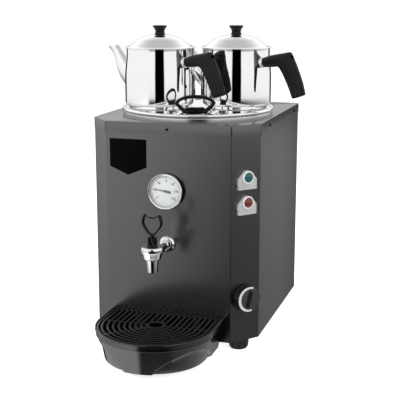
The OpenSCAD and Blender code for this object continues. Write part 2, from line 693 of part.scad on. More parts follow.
// Handle loop: a heart-shaped ring on a flat tongue
function loop_half(w, low, high) = [for (q = [[0.16, 0], [0.42, 0.06], [0.66, 0.2], [0.87, 0.4],
    [0.98, 0.58], [1, 0.7], [0.97, 0.82], [0.88, 0.92], [0.76, 0.98], [0.66, 1], [0.52, 0.985],
    [0.34, 0.945], [0.16, 0.925], [0, 0.92]]) [w * q[0], low + (high - low) * q[1]]];
function mirrored(half) = concat(half, [for (i = [len(half) - 2 : -1 : 0]) [-half[i][0], half[i][1]]]);
module tap_handle() color("black") on_tap() rotate([90, 0, 0]) difference() {
    translate([0, 0, -tongue_t / 2]) linear_extrude(tongue_t) {
        difference() {
            polygon(mirrored(loop_half(loop_w / 2, loop_low, loop_low + loop_h)));
            polygon(mirrored(loop_half(loop_w / 2 - bar_t, loop_low + bar_t, loop_low + loop_h - bar_t)));
        }
        translate([-tongue_w / 2, handle_pin_z - 6]) square([tongue_w, loop_low - handle_pin_z + 9]);
    }
    translate([-20, handle_pin_z, 0]) rotate([0, 90, 0]) cylinder(h = 40, r = handle_pin_r + 0.01);
}
module tap_pin() color("silver") on_tap() translate([-hub_r + 0.6, 0, handle_pin_z]) rotate([0, 90, 0])
    cylinder(h = 2 * hub_r - 1.2, r = handle_pin_r);
// Valve stem with its seal disc
disc_r = 9;
disc_t = 4;
spring_wire = 0.8;
module tap_plunger() color("black") on_tap() {
    translate([0, 0, seat_z + 0.1]) cylinder(h = disc_t, r = disc_r);
    translate([0, 0, seat_z + 1]) cylinder(h = slot_z - seat_z - 2.5, r = plunger_r);
}
spring_turns = 4;
spring_r = 6;
module tap_spring() color("silver") on_tap() {
    low = seat_z + 0.1 + disc_t + spring_wire + 0.05;
    high = plug_z - spring_wire - 0.05;
    steps = 16;
    sides = 8;
    skin([for (i = [0 : spring_turns * steps]) let (a = 360 * i / steps,
            z = low + (high - low) * i / (spring_turns * steps))
        [for (k = [0 : sides - 1]) let (b = 360 * k / sides, r = spring_r + spring_wire * cos(b))
            [r * cos(a), r * sin(a), z + spring_wire * sin(b)]]]);
}

// ---- services ----------------------------------------------------------------

module terminal_block() color("ivory") translate([-130, 140, foot_h + sheet_t]) difference() {
    cube([62, 22, 18]);
    for (i = [0 : 3]) translate([9 + 14.5 * i, 11, 6]) cylinder(h = 20, r = 3);
}
gland_l = 34;
module cable_gland() color("black") translate([gland_x, body_d / 2 + sheet_t, gland_z]) rotate([-90, 0, 0])
    difference() {
        union() {
            translate([0, 0, -12]) cylinder(h = 14, r = gland_r);
            translate([0, 0, -sheet_t - 4]) cylinder(h = 4, r = 11.5, $fn = 6);
            cylinder(h = 6, r = 11.5, $fn = 6);
            translate([0, 0, 6]) cylinder(h = gland_l - 12 - 6, r1 = 10, r2 = 7);
        }
        translate([0, 0, -12 - eps]) cylinder(h = gland_l + 2 * eps, r = cable_r);
    }

// ---- drip tray ---------------------------------------------------------------

tray_y = front_y - tray_reach;
tray_gap = 2;
tray_back = front_y - tray_gap;
band_z = tray_top_z - tray_band_h;
tray_taper = 10;
tray_arch = 5;
arch_h = 45;
arch_turn = 58;
arch_half = 92;
arch_r = (pow(arch_half, 2) + pow(arch_h, 2)) / (2 * arch_h);
grille_drop = 2;
grille_z = tray_top_z - grille_drop - grille_t;
grille_gap = 0.6;
grille_r = tray_r - tray_wall - grille_gap;
hook_x = 70;
hook_w = 20;
hook_t = 3;
hook_z = tray_low_z + 58;
window_w = hook_w + 6;
window_h = 22;

// D-shaped solid: a round front that tapers from r1 to r2 and a straight back
module dee(r1, r2, z1, z2, back) {
    translate([0, tray_y, z1]) intersection() {
        cylinder(h = z2 - z1, r1 = r1, r2 = r2, $fn = 128);
        translate([-body_w, -body_w, -1]) cube([2 * body_w, body_w, z2 - z1 + 2]);
    }
    translate([0, back, 0]) rotate([90, 0, 0]) linear_extrude(back - tray_y)
        polygon([[-r1, z1], [r1, z1], [r2, z2], [-r2, z2]]);
}

module drip_tray() color("black") {
    wall_r = tray_r - 5;
    basin = tray_arch + tray_wall;
    difference() {
        union() {
            dee(tray_r - 2, tray_r, band_z, tray_top_z, tray_back);
            difference() {
                dee(wall_r - tray_taper, wall_r, tray_low_z, band_z + eps, tray_back);
                for (s = [-1, 1]) translate([0, tray_y, tray_low_z + arch_h - arch_r])
                    rotate([90, 0, s * arch_turn]) cylinder(h = tray_r * 2, r = arch_r, $fn = 128);
            }
            dee(wall_r - tray_taper - tray_arch, wall_r - tray_arch, tray_low_z, band_z + eps, tray_back);
        }
        dee(wall_r - tray_taper - basin, wall_r - basin, tray_low_z + tray_wall, grille_z - seat_gap + 0.01,
            tray_back - tray_wall);
        dee(tray_r - tray_wall, tray_r - tray_wall, grille_z - seat_gap, tray_top_z + eps,
            tray_back - tray_wall);
        for (s = [-1, 1]) translate([s * hook_x - window_w / 2, tray_back - 2 * tray_wall, hook_z - window_h])
            cube([window_w, 3 * tray_wall, window_h]);
    }
}

// Two hooks on the front panel that reach through the windows in the tray's back wall
module tray_hooks() color("silver") for (s = [-1, 1]) translate([s * hook_x - hook_w / 2, front_y, hook_z]) {
    reach = tray_gap + tray_wall + 0.5;
    translate([0, -1.5, -20]) cube([hook_w, 1.5, 32]);
    translate([0, -reach - 2, -seat_gap - hook_t]) cube([hook_w, reach + 1, hook_t]);
    translate([0, -reach - 2, -seat_gap - hook_t]) cube([hook_w, 2, hook_t + 6.5]);
}

first_slot = finger_r + 7.75;
slot_count = 8;
flange_w = 6;
grille_back = tray_back - tray_wall - grille_gap - tray_y;
rib_w = 4;
// Disc in front that runs straight back on both sides
module disc_2d(r, back) {
    intersection() {
        circle(r = r, $fn = 128);
        translate([-body_w, -body_w]) square([2 * body_w, body_w]);
    }
    translate([-r, 0]) square([2 * r, back]);
}
module slot_2d(r0, r1, back) difference() {
    disc_2d(r1, back);
    disc_2d(r0, back + 1);
}
// Drip grille: concentric bars in front that run straight to the back edge
module drip_grille() color("dimgray") translate([0, tray_y, grille_z]) {
    linear_extrude(grille_t) difference() {
        disc_2d(grille_r, grille_back);
        circle(r = finger_r);
        for (i = [0 : slot_count - 1]) let (r0 = first_slot + i * bar_pitch)
            slot_2d(r0, r0 + slot_w, grille_back - flange_w);
        slot_2d(first_slot + slot_count * bar_pitch, grille_r - flange_w, grille_back - flange_w);
        for (k = [-1 : 1]) translate([k * bar_pitch - slot_w / 2, first_slot])
            square([slot_w, grille_back - flange_w - first_slot]);
    }
    for (a = [0, 180, 225, 270, 315]) rotate([0, 0, a]) translate([finger_r + 2, -rib_w / 2, 0])
        cube([grille_r - finger_r - 4, rib_w, grille_t / 2]);
}

// ---- pot stand ---------------------------------------------------------------

stand_t = 1.2;
stand_z = top_z + collar_h + 3;
bead_low = rim_top + seat_gap;
skirt_r = tank_r - 0.5;
skirt_h = 18;
module on_stand() translate([tank_x, tank_y, stand_z]) rotate([0, 0, stand_turn]) children();
module at_fill() on_stand() translate([-fill_side, -fill_front, 0]) children();
module at_pot(s) on_stand() translate([s * pot_side, pot_back, seat_gap]) children();

module pot_stand() color("silver") difference() {
    on_stand() rotate_extrude($fn = 128) polygon(concat(
        [[0, -stand_t], [skirt_r - stand_t, -stand_t], [skirt_r - stand_t, -skirt_h], [skirt_r, -skirt_h],
         [skirt_r, -stand_t], [bead_r - bead_h, -stand_t]],
        arc(bead_r - bead_h / 2, bead_low - stand_z + bead_h / 2, bead_h / 2, -90, 180, 12),
        [[bead_r - bead_h - 1, 0], [0, 0]]));
    for (s = [-1, 1]) at_pot(s) translate([0, 0, -10]) cylinder(h = 12, r = port_r);
    at_fill() translate([0, 0, -10]) cylinder(h = 12, r = fill_r);
}

fill_top = 4.2;
fill_skirt = 2.6;
module fill_lid() color("silver") at_fill() rotate_extrude() polygon([[0, fill_top - 1.2],
    [fill_r - 2.2, fill_top - 1.2], [fill_r - 2.2, -fill_skirt], [fill_r - 1, -fill_skirt], [fill_r - 1, seat_gap],
    [fill_lid_r, seat_gap], [fill_lid_r, seat_gap + 1.6], [fill_lid_r - 2, seat_gap + 3],
    [fill_r - 3, fill_top], [0, fill_top]]);
fill_handle_t = 12;
fill_handle_front = 4;
module fill_handle() color("black") at_fill() translate([0, -fill_handle_front, fill_top])
    rotate([90, 0, 0]) {
        translate([0, 0, -fill_handle_t / 2]) linear_extrude(fill_handle_t) difference() {
            polygon(mirrored([[33, 0], [39, 3], [44.5, 10], [47, 18], [46.6, 24], [42, 31], [34, 36.5],
                [24, 40.3], [12, 42.4], [0, 43]]));
            polygon(mirrored([[27, 9.5], [32, 10.5], [36, 14], [37.8, 18.5], [37, 23], [33, 27.5],
                [27, 30.7], [19, 33], [10, 34.3], [0, 34.6]]));
        }
        translate([-21.5, 0, -fill_handle_t / 2 - 2]) cube([43, 11, fill_handle_t + 4]);
    }

// ---- teapots -----------------------------------------------------------------

// Outside of a pot, from the capsule base to the open rim
pot_wall = [[capsule_r - 2, 0], [capsule_r, 2], [capsule_r, 6], [pot_r - 3.5, 7.5], [pot_r, 11.5],
    [pot_r - 0.2, pot_h - 78], [pot_r - 0.7, pot_h - 64], [pot_r - 1.9, pot_h - 52],
    [pot_r - 4, pot_h - 42], [pot_r - 6.3, pot_h - 34], [pot_r - 7.9, pot_h - 28],
    [pot_r - 8.7, pot_h - 20], [pot_r - 8.3, pot_h - 12], [pot_r - 6.5, pot_h - 5],
    [pot_r - 5.7, pot_h - 1.5], [pot_r - 5.7, pot_h]];
module pot_block() rotate_extrude($fn = 96) polygon(concat([[0, 0]], pot_wall, [[0, pot_h]]));

spout_root = 28;
strainer_r = 3;
module pot_body(s) color("silver") at_pot(s) difference() {
    rotate_extrude($fn = 96) polygon(concat([[0, 0]], pot_wall,
        [for (i = [len(pot_wall) - 1 : -1 : 4]) pot_wall[i] - [pot_t, 0]],
        [[pot_r - 3.5 - pot_t, 7.5 + pot_t], [0, 7.5 + pot_t]]));
    rotate([0, 0, 180 - handle_turn]) for (row = [0 : 4], col = [-1 : 1])
        rotate([0, 0, 8 * col]) translate([pot_r - 12, 0, spout_root + 10 + 11 * row])
            rotate([0, 90, 0]) cylinder(h = 20, r = strainer_r, $fn = 24);
}

// Spout sections: lower point, upper point (both outwards from the pot wall, and up), half width
spout_wall = 1.1;
spout_sections = [
    [[-3, 28], [-3, 98], 24], [[20, 40], [13, 102], 22], [[42, 57], [25, 110], 19],
    [[54, 75], [34, 117.5], 17], [[61, 92], [41, 124], 15], [[67, 108], [47.5, 130], 13.5],
    [[74, 122], [53, 136], 12.5], [[83, 131], [57, 140], 12.3], [[93, 138.5], [60, 143.5], 12.8]];
function spout_ring(q, wall) = let (
    low = q[0] + [pot_r, 0], high = q[1] + [pot_r, 0], step = wall * (high - low) / norm(high - low))
    section(low + step, high - step, q[2] - wall);
module pot_spout(s) color("silver") at_pot(s) difference() {
    rotate([0, 0, 180 - handle_turn]) skin(concat([for (q = spout_sections) spout_ring(q, 0)],
        [for (i = [len(spout_sections) - 1 : -1 : 0]) spout_ring(spout_sections[i], spout_wall)]), true);
    pot_block();
}

// Handle sections: inner point, outer point, half thickness, squareness
neck_z = pot_h - 30.5;
neck_out = 2.5;
neck_tilt = 11.5;
handle_sections = [
    [[4.8, 100.2], [0.2, 122.8], 11.5, 2], [[18.5, 100.5], [16, 127.5], 11, 2.2],
    [[32.5, 102], [38, 132], 10.5, 2.5], [[41.5, 103], [62, 136], 10, 2.8],
    [[47, 101], [77, 138], 9.8, 3], [[51.5, 96], [83, 130.5], 9.6, 3],
    [[59.5, 85], [92.5, 114.5], 9.3, 3], [[69.5, 68], [103.5, 92.5], 9, 3],
    [[78.5, 51], [113.5, 69], 9, 3], [[86.5, 33], [121, 45], 8.5, 3], [[89, 29.5], [120.5, 37.5], 7, 3]];
stud_r = 2.5;
stud_l = 42;
module along_neck() translate([pot_r + neck_out, 0, neck_z]) rotate([0, 90 - neck_tilt, 0]) children();
module pot_handle(s) color("dimgray") at_pot(s) rotate([0, 0, -handle_turn]) difference() {
    skin([for (q = handle_sections) let (up = [pot_r, pot_h - 142])
        section(q[0] + up, q[1] + up, q[2], q[3])]);
    along_neck() {
        translate([0, 0, -5]) cylinder(h = stud_l + 10, r = stud_r + hole_gap);
        translate([0, 0, stud_l]) cylinder(h = 80, r = 5);
    }
}
module pot_ferrule(s) color("silver") at_pot(s) difference() {
    rotate([0, 0, -handle_turn]) along_neck() {
        translate([0, 0, -18]) cylinder(h = 15, r = ferrule_r);
        translate([0, 0, -4]) cylinder(h = 4, r1 = ferrule_r, r2 = ferrule_r - 0.7);
        translate([0, 0, -1]) cylinder(h = stud_l + 1, r = stud_r);
        translate([0, 0, stud_l]) cylinder(h = 4, r = 4.6);
    }
    pot_block();
}

// Outside of a lid from its rim to its middle: [radius, share of the dome height]
lid_seat_r = 13;
lid_skirt_r = pot_r - 10.3;
lid_t = 1;
lid_dome = [[lid_r, 0.05], [lid_r - 2.2, 0.11], [lid_r - 12, 0.27], [lid_r - 24, 0.53], [lid_r - 29, 0.64],
    [lid_r - 35, 0.735], [lid_r - 36, 0.78], [lid_r - 50, 0.92], [lid_r - 62, 1], [lid_seat_r + 1, 1],
    [lid_seat_r, 0.95], [0, 0.95]];
function on_dome(q) = [q[0], pot_h + seat_gap + dome_h * q[1]];
module pot_lid(s) color("silver") at_pot(s) rotate_extrude($fn = 96) polygon(concat(
    [[lid_r, pot_h + seat_gap]], [for (q = lid_dome) on_dome(q)],
    [for (i = [len(lid_dome) - 1 : -1 : 2]) let (q = on_dome(lid_dome[i]))
        [max(0, min(q[0] - 0.3, lid_skirt_r - lid_t)), q[1] - lid_t]],
    [[lid_skirt_r - lid_t, pot_h - 9], [lid_skirt_r, pot_h - 9], [lid_skirt_r, pot_h + seat_gap]]));
module lid_knob(s) color("black") at_pot(s) translate([0, 0, on_dome([0, 0.95])[1]])
    rotate_extrude(convexity = 4) polygon([[0, 0], [lid_knob_r - 5, 0], [lid_knob_r - 5, lid_knob_h * 0.08],
        [lid_knob_r - 6.3, lid_knob_h * 0.25], [lid_knob_r - 6.5, lid_knob_h * 0.38],
        [lid_knob_r - 5.5, lid_knob_h * 0.54], [lid_knob_r - 2.5, lid_knob_h * 0.75],
        [lid_knob_r, lid_knob_h * 0.88], [lid_knob_r, lid_knob_h * 0.94],
        [lid_knob_r - 2, lid_knob_h], [0, lid_knob_h + 0.6]]);

// ---- nodes -------------------------------------------------------------------

// Middle of the whole urn, from the middle of the cabinet
middle_x = 10;
middle_y = -99;
translate([-middle_x, -middle_y, 0]) {
    cabinet_wrap();
    control_panel();
    back_panel();
    base_plate();
    top_cover();
    feet();
    foot_bolts();
    case_screws();
    boiler_tank();
    tank_jacket();
    heating_element();
    element_gasket();
    element_nut();
    dry_boil_cutout();
    lamp_holders();
    lamp_barrels();
    lamp_nuts();
    lens_green();
    lens_amber();
    thermostat();
    bulb_well();
    thermometer_case();
    thermometer_stem();
    thermometer_nut();
    thermometer_dial();
    thermometer_glass();
    thermometer_bezel();
    tap_rosette();
    tap_shank();
    tap_seal();
    tap_nut();
    tap_body();
    tap_bonnet();
    tap_spring();
    terminal_block();
    cable_gland();
    tray_hooks();
    thermostat_knob();
    thermostat_spindle();
    thermometer_pointer();
    tap_handle();
    tap_pin();
    tap_plunger();
    pot_stand();
    fill_lid();
    fill_handle();
    pot_body(-1);  // pot_left_body
    pot_spout(-1);  // pot_left_spout
    pot_ferrule(-1);  // pot_left_ferrule
    pot_handle(-1);  // pot_left_handle
    pot_lid(-1);  // pot_left_lid
    lid_knob(-1);  // pot_left_knob
    pot_body(1);  // pot_right_body
    pot_spout(1);  // pot_right_spout
    pot_ferrule(1);  // pot_right_ferrule
    pot_handle(1);  // pot_right_handle
    pot_lid(1);  // pot_right_lid
    lid_knob(1);  // pot_right_knob
    drip_tray();
    drip_grille();
}
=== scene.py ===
"""Looks of a hot water urn with two teapots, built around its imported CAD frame.

Lengths in the classes are in millimetres, as on a drawing whose origin is on the floor
under the middle of the cabinet. They become metres, from the row's own origin, when a
mesh is made. +Z is up and the front faces -Y.
"""

import logging
import math
from dataclasses import dataclass, field
from enum import Enum
from typing import Optional, Sequence

import bmesh
import bpy
import numpy as np
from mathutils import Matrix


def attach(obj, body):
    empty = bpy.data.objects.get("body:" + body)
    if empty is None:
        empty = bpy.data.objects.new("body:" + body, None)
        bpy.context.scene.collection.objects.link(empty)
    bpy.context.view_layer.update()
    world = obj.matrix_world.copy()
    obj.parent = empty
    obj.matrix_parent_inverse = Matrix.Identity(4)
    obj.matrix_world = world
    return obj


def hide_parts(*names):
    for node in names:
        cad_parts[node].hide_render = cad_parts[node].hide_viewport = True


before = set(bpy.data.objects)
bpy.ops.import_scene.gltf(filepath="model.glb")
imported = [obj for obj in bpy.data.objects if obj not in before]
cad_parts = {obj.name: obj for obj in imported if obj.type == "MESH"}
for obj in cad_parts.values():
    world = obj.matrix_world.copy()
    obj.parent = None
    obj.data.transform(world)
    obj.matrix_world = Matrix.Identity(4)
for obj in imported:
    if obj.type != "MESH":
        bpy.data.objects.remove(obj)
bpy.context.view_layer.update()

Array = np.ndarray
Line = Sequence[Sequence[float]]
Rgb = tuple[float, float, float]
Vec = tuple[float, float, float]
Pair = tuple[float, float]
Socket = bpy.types.NodeSocket
Thing = bpy.types.Object

LOG = logging.getLogger("urn")
MM = 0.001
ORIGIN_X, ORIGIN_Y = 10.0, -99.0
HALF_WIDTH, HALF_DEPTH = 200.0, 235.0
CHAMFER_WIDTH, CHAMFER_DEPTH = 52.0, 60.0
CONTROL_TURN = 49.085
BOILER_X, BOILER_Y = 4.0, -17.0
STAND_Z, STAND_TURN = 535.0, 17.3
POT_X, POT_Y = 92.0, 22.0
FILL_X, FILL_Y = -6.5, -118.0
CREASE = 32.0
WELD, SLIVER = 1e-6, 1e-7
TINY = 1e-12


class Side(Enum):
    """The two teapots."""

    LEFT = -1
    RIGHT = 1


# ---- places ----


def metres(points: Array) -> Array:
    """Drawing millimetres from under the cabinet as metres from the row's origin."""
    return (np.asarray(points, float) - [ORIGIN_X, ORIGIN_Y, 0.0]) * MM


def turned(degrees: float) -> Array:
    """Rotation matrix about Z."""
    c, s = math.cos(math.radians(degrees)), math.sin(math.radians(degrees))
    return np.array([[c, -s, 0.0], [s, c, 0.0], [0.0, 0.0, 1.0]])


def tipped(degrees: float) -> Array:
    """Rotation matrix about X."""
    c, s = math.cos(math.radians(degrees)), math.sin(math.radians(degrees))
    return np.array([[1.0, 0.0, 0.0], [0.0, c, -s], [0.0, s, c]])


def leaned(degrees: float) -> Array:
    """Rotation matrix about Y."""
    c, s = math.cos(math.radians(degrees)), math.sin(math.radians(degrees))
    return np.array([[c, 0.0, s], [0.0, 1.0, 0.0], [-s, 0.0, c]])


@dataclass(frozen=True)
class Place:
    """A local frame: its axes as the columns of a matrix, and its origin in millimetres."""

    origin: tuple[float, float, float] = (0.0, 0.0, 0.0)
    axes: Array = field(default_factory=lambda: np.eye(3))

    def put(self, points: Array) -> Array:
        """Moves local points into the row frame."""
        return points @ self.axes.T + np.array(self.origin)

    def at(self, x: float, y: float, z: float, axes: Optional[Array] = None) -> "Place":
        """A place within this one, optionally turned."""
        origin = self.put(np.array([x, y, z], float))
        return Place(tuple(origin), self.axes if axes is None else self.axes @ axes)


# ---- profiles and grids ----


def rounded(points: Line, radius: float, steps: int = 5, loop: bool = False) -> Array:
    """Rounds the corners of a polyline with circular arcs.

    Args:
        points: corners, each (x, y) or (x, y, radius of its own).
        radius: fillet radius where a corner names none.
        steps: spans on each arc.
        loop: whether the last point joins the first.

    Returns:
        The rounded line as an array of (x, y). Each corner becomes steps + 1 points on
        the circle that touches both of its sides. A fillet takes up just under half of a
        side at most, and a corner that is almost straight stays as it is.
    """
    straight, most = math.radians(89.5), 0.49
    corners = [np.array(p[:2], float) for p in points]
    radii = [p[2] if len(p) > 2 else radius for p in points]
    count, line = len(corners), []
    for i, (corner, r) in enumerate(zip(corners, radii)):
        if r <= 0 or (not loop and i in (0, count - 1)):
            line.append(corner[None, :])
            continue
        back, ahead = corners[i - 1] - corner, corners[(i + 1) % count] - corner
        la, lb = np.linalg.norm(back), np.linalg.norm(ahead)
        a, b = back / la, ahead / lb
        half = math.acos(max(-1.0, min(1.0, float(a @ b)))) / 2
        if half > straight:
            line.append(corner[None, :])
            continue
        cut = min(r / math.tan(half), most * la, most * lb)
        r = cut * math.tan(half)
        centre = corner + (a + b) / np.linalg.norm(a + b) * (r / math.sin(half))
        start, end = corner + a * cut - centre, corner + b * cut - centre
        t = np.linspace(0, 1, steps + 1)[:, None]
        sweep = math.pi - 2 * half
        arc = (np.sin((1 - t) * sweep) * start + np.sin(t * sweep) * end) / math.sin(sweep)
        line.append(centre + arc)
    return np.concatenate(line)


def smoothed(stations: Line, per_span: int) -> Array:
    """Catmull-Rom curve through rows of values, per_span rows to a span.

    Args:
        stations: rows of values that the curve passes through.
        per_span: rows from one station to the next.

    Returns:
        The rows of the curve, its last station included.
    """
    rows = np.array(stations, float)
    padded = np.concatenate([[2 * rows[0] - rows[1]], rows, [2 * rows[-1] - rows[-2]]])
    t = np.linspace(0, 1, per_span, endpoint=False)[:, None, None]
    p0, p1, p2, p3 = (padded[k : k + len(rows) - 1][None] for k in range(4))
    curve = 0.5 * (2 * p1 + (p2 - p0) * t + (2 * p0 - 5 * p1 + 4 * p2 - p3) * t**2
                   + (3 * p1 - p0 - 3 * p2 + p3) * t**3)
    curve = curve.transpose(1, 0, 2).reshape(-1, rows.shape[1])
    return np.concatenate([curve, rows[-1:]])


def circle(radius: float, steps: int, start: float = 0.0, sweep: float = 360.0) -> Array:
    """Points on a circle in the XY plane; a full circle doesn't repeat its first point.

    Args:
        radius: in millimetres.
        steps: number of points.
        start: angle of the first, in degrees.
        sweep: angle covered, in degrees.

    Returns:
        Array of (x, y).
    """
    if sweep < 360.0:
        a = np.radians(start + np.linspace(0, sweep, steps))
    else:
        a = np.radians(start + 360.0 * np.arange(steps) / steps)
    return np.stack([radius * np.cos(a), radius * np.sin(a)], -1)


def oblong(x0: float, y0: float, x1: float, y1: float) -> Array:
    """Corners of a rectangle, counter-clockwise from its lowest."""
    return np.array([[x0, y0], [x1, y0], [x1, y1], [x0, y1]], float)


def superellipse(steps: int, power: Array) -> Array:
    """Unit superellipses, one per power: |x|^p + |y|^p = 1, as rows of points.

    Args:
        steps: points on each curve.
        power: the power p of each curve.

    Returns:
        Array (curves, steps, 2).
    """
    a = 2 * np.pi * np.arange(steps) / steps
    p = np.asarray(power, float).reshape(-1, 1)
    c, s = np.cos(a)[None], np.sin(a)[None]
    return np.stack([np.sign(c) * np.abs(c) ** (2 / p), np.sign(s) * np.abs(s) ** (2 / p)], -1)


def loft(low: Array, high: Array, half: Array, shape: Array) -> Array:
    """Rings between a low and a high (x, z) line.

    A ring's point (u, v) lies at (low + high) / 2 + (high - low) / 2 * u in the plane of
    the lines and at half * v across it.

    Args:
        low: (x, z) of one side of each ring.
        high: (x, z) of its other side.
        half: half width of each ring.
        shape: unit curve (u, v) of each ring.

    Returns:
        Array (rings, points, 3).
    """
    middle, reach = (low + high) / 2, (high - low) / 2
    flat = middle[:, None, :] + reach[:, None, :] * shape[..., :1]
    return np.stack([flat[..., 0], half[:, None] * shape[..., 1], flat[..., 1]], -1)


def spun(radius: Array, z: Array) -> Array:
    """Rings round Z from a (heights, angles) table of radii.

    Args:
        radius: distance from the axis, a row to each height.
        z: the heights.

    Returns:
        Array (heights, angles, 3).
    """
    angle = 2 * np.pi * np.arange(radius.shape[1]) / radius.shape[1]
    level = np.broadcast_to(z[:, None], radius.shape)
    return np.stack([radius * np.cos(angle), radius * np.sin(angle), level], -1)


class Form:
    """Collects grids of points and turns them into one closed mesh object."""

    def __init__(self, place: Place = Place()) -> None:
        """Starts an empty form whose points are local to place."""
        self.place = place
        self.points: list[Array] = []
        self.faces: list[list[int]] = []
        self.size = 0

    def _take(self, points: Array) -> int:
        """Stores points and returns the index of the first."""
        start = self.size
        self.points.append(self.place.put(points.reshape(-1, 3)))
        self.size += len(self.points[-1])
        return start

    def grid(self, points: Array, loop_rows: bool = False, loop_cols: bool = False) -> "Form":
        """Adds a surface: quads between neighbours of a (rows, columns, 3) grid.

        Args:
            points: array (rows, columns, 3).
            loop_rows: whether the last row joins the first.
            loop_cols: whether the last column joins the first.

        Returns:
            The form.
        """
        rows, cols = points.shape[:2]
        start = self._take(points)
        r = np.arange(rows if loop_rows else rows - 1)[:, None]
        c = np.arange(cols if loop_cols else cols - 1)[None, :]
        r1, c1 = (r + 1) % rows, (c + 1) % cols
        quads = np.stack([r * cols + c, r * cols + c1, r1 * cols + c1, r1 * cols + c], -1)
        self.faces += (quads.reshape(-1, 4) + start).tolist()
        return self

    def face(self, ring: Array) -> "Form":
        """Adds one flat polygon through a ring of points."""
        start = self._take(ring)
        self.faces.append(list(range(start, start + len(ring))))
        return self

    def tube(self, rings: Array) -> "Form":
        """Adds a skin over rings of points, (rings, points, 3), closed by flat ends."""
        return self.grid(rings, loop_cols=True).face(rings[0]).face(rings[-1])

    def lathe(self, profile: Array, steps: int = 96, loop: bool = False, start: float = 0.0,
              sweep: float = 360.0) -> "Form":
        """Adds a turned surface: each (r, z) of the profile carried round Z.

        Args:
            profile: (r, z) of its points.
            steps: points round the axis.
            loop: whether the profile closes on itself.
            start: angle of the first column, in degrees.
            sweep: angle covered, in degrees.

        Returns:
            The form.
        """
        ring = circle(1.0, steps, start, sweep)
        xy = profile[:, 0][:, None, None] * ring[None]
        z = np.broadcast_to(profile[:, 1][:, None, None], xy.shape[:2] + (1,))
        return self.grid(np.concatenate([xy, z], -1), loop_rows=loop, loop_cols=sweep >= 360.0)

    def prism(self, outline: Array, low: float, high: float, edge: float = 0.0,
              steps: int = 3) -> "Form":
        """Adds an upright prism over a convex or gently curved outline, its rims rounded.

        The rims shrink the outline towards its middle line along the corner normals by
        edge * (1 - sin), while the height runs by edge * (1 - cos).

        Args:
            outline: (x, y), counter-clockwise.
            low: height of the foot.
            high: height of the top.
            edge: radius of the rims.
            steps: spans on a rim.

        Returns:
            The form.
        """
        normals = outline_normals(outline)
        bend = np.radians(np.linspace(0, 90, steps + 1)) if edge > 0 else np.array([math.pi / 2])
        inset, rise = edge * (1 - np.sin(bend)), edge * (1 - np.cos(bend))
        rings = [lift(outline - normals * i, low + h) for i, h in zip(inset, rise)]
        rings += [lift(outline - normals * i, high - h) for i, h in zip(inset[::-1], rise[::-1])]
        return self.tube(np.stack(rings))

    def mesh(self, name: str, sharp: float = CREASE) -> Thing:
        """Makes the object: doubles merged, faces outwards, smooth below sharp degrees.

        Args:
            name: name of the object.
            sharp: angle past which an edge stays crisp.

        Returns:
            The object, at the origin.
        """
        data = bpy.data.meshes.new(name)
        data.from_pydata(metres(np.concatenate(self.points)).tolist(), [], self.faces)
        clean = bmesh.new()
        clean.from_mesh(data)
        bmesh.ops.remove_doubles(clean, verts=clean.verts, dist=WELD)
        bmesh.ops.dissolve_degenerate(clean, edges=clean.edges, dist=SLIVER)
        bmesh.ops.recalc_face_normals(clean, faces=clean.faces)
        clean.to_mesh(data)
        clean.free()
        smooth(data, sharp)
        return placed(name, data)


def placed(name: str, data: bpy.types.ID) -> Thing:
    """Puts a new object with that data into the scene.

    Args:
        name: name of the object.
        data: its mesh, curve, lamp or camera.

    Returns:
        The object.
    """
    made = bpy.data.objects.new(name, data)
    bpy.context.scene.collection.objects.link(made)
    return made


def smooth(data: bpy.types.Mesh, sharp: float) -> None:
    """Shades a mesh smooth, with edges sharper than that angle kept crisp."""
    data.shade_smooth()
    data.set_sharp_from_angle(angle=math.radians(sharp))


def lift(outline: Array, z: float) -> Array:
    """Puts an (x, y) outline at a height."""
    return np.concatenate([outline, np.full((len(outline), 1), float(z))], -1)


def outline_normals(outline: Array) -> Array:
    """Outward corner normals of a closed counter-clockwise outline, scaled for an even inset.

    A corner's normal is the sum of its sides' normals over half of the sum's square, which
    is held at least at blunt so that a sharp corner doesn't shoot away.

    Args:
        outline: (x, y) of the corners.

    Returns:
        Array of (x, y), one to each corner.
    """
    blunt = 0.3
    ahead = np.roll(outline, -1, 0) - outline
    ahead /= np.linalg.norm(ahead, axis=1, keepdims=True) + TINY
    sides = np.stack([ahead[:, 1], -ahead[:, 0]], -1)
    both = sides + np.roll(sides, 1, 0)
    return both / np.maximum((both * both).sum(-1, keepdims=True) / 2, blunt)


def flow(outline: Array) -> Array:
    """The outline, turned counter-clockwise if it isn't.

    Args:
        outline: (x, y) of a closed outline.

    Returns:
        The same points, counter-clockwise.
    """
    x, y = outline[:, 0], outline[:, 1]
    area = (x * np.roll(y, -1) - y * np.roll(x, -1)).sum()
    return outline if area > 0 else outline[::-1]


def cut(target: Thing, tools: Sequence[Thing], sharp: float = CREASE) -> None:
    """Cuts the tools out of a mesh with exact booleans, applies them and deletes the tools.

    Args:
        target: the object that is cut.
        tools: closed objects to take out of it.
        sharp: angle past which an edge stays crisp.
    """
    for tool in tools:
        step = target.modifiers.new("cut", "BOOLEAN")
        step.object, step.solver, step.operation = tool, "EXACT", "DIFFERENCE"
    bpy.context.view_layer.update()
    view = bpy.context.evaluated_depsgraph_get()
    data = bpy.data.meshes.new_from_object(target.evaluated_get(view))
    target.modifiers.clear()
    target.data = data
    smooth(data, sharp)
    for tool in tools:
        bpy.data.objects.remove(tool)


# ---- finishes ----


def tone(red: int, green: int, blue: int) -> Rgb:
    """Linear colour of an 8-bit display colour: ((v + 0.055) / 1.055) ^ 2.4."""
    shares = (red / 255, green / 255, blue / 255)
    return tuple(v / 12.92 if v <= 0.04045 else ((v + 0.055) / 1.055) ** 2.4 for v in shares)


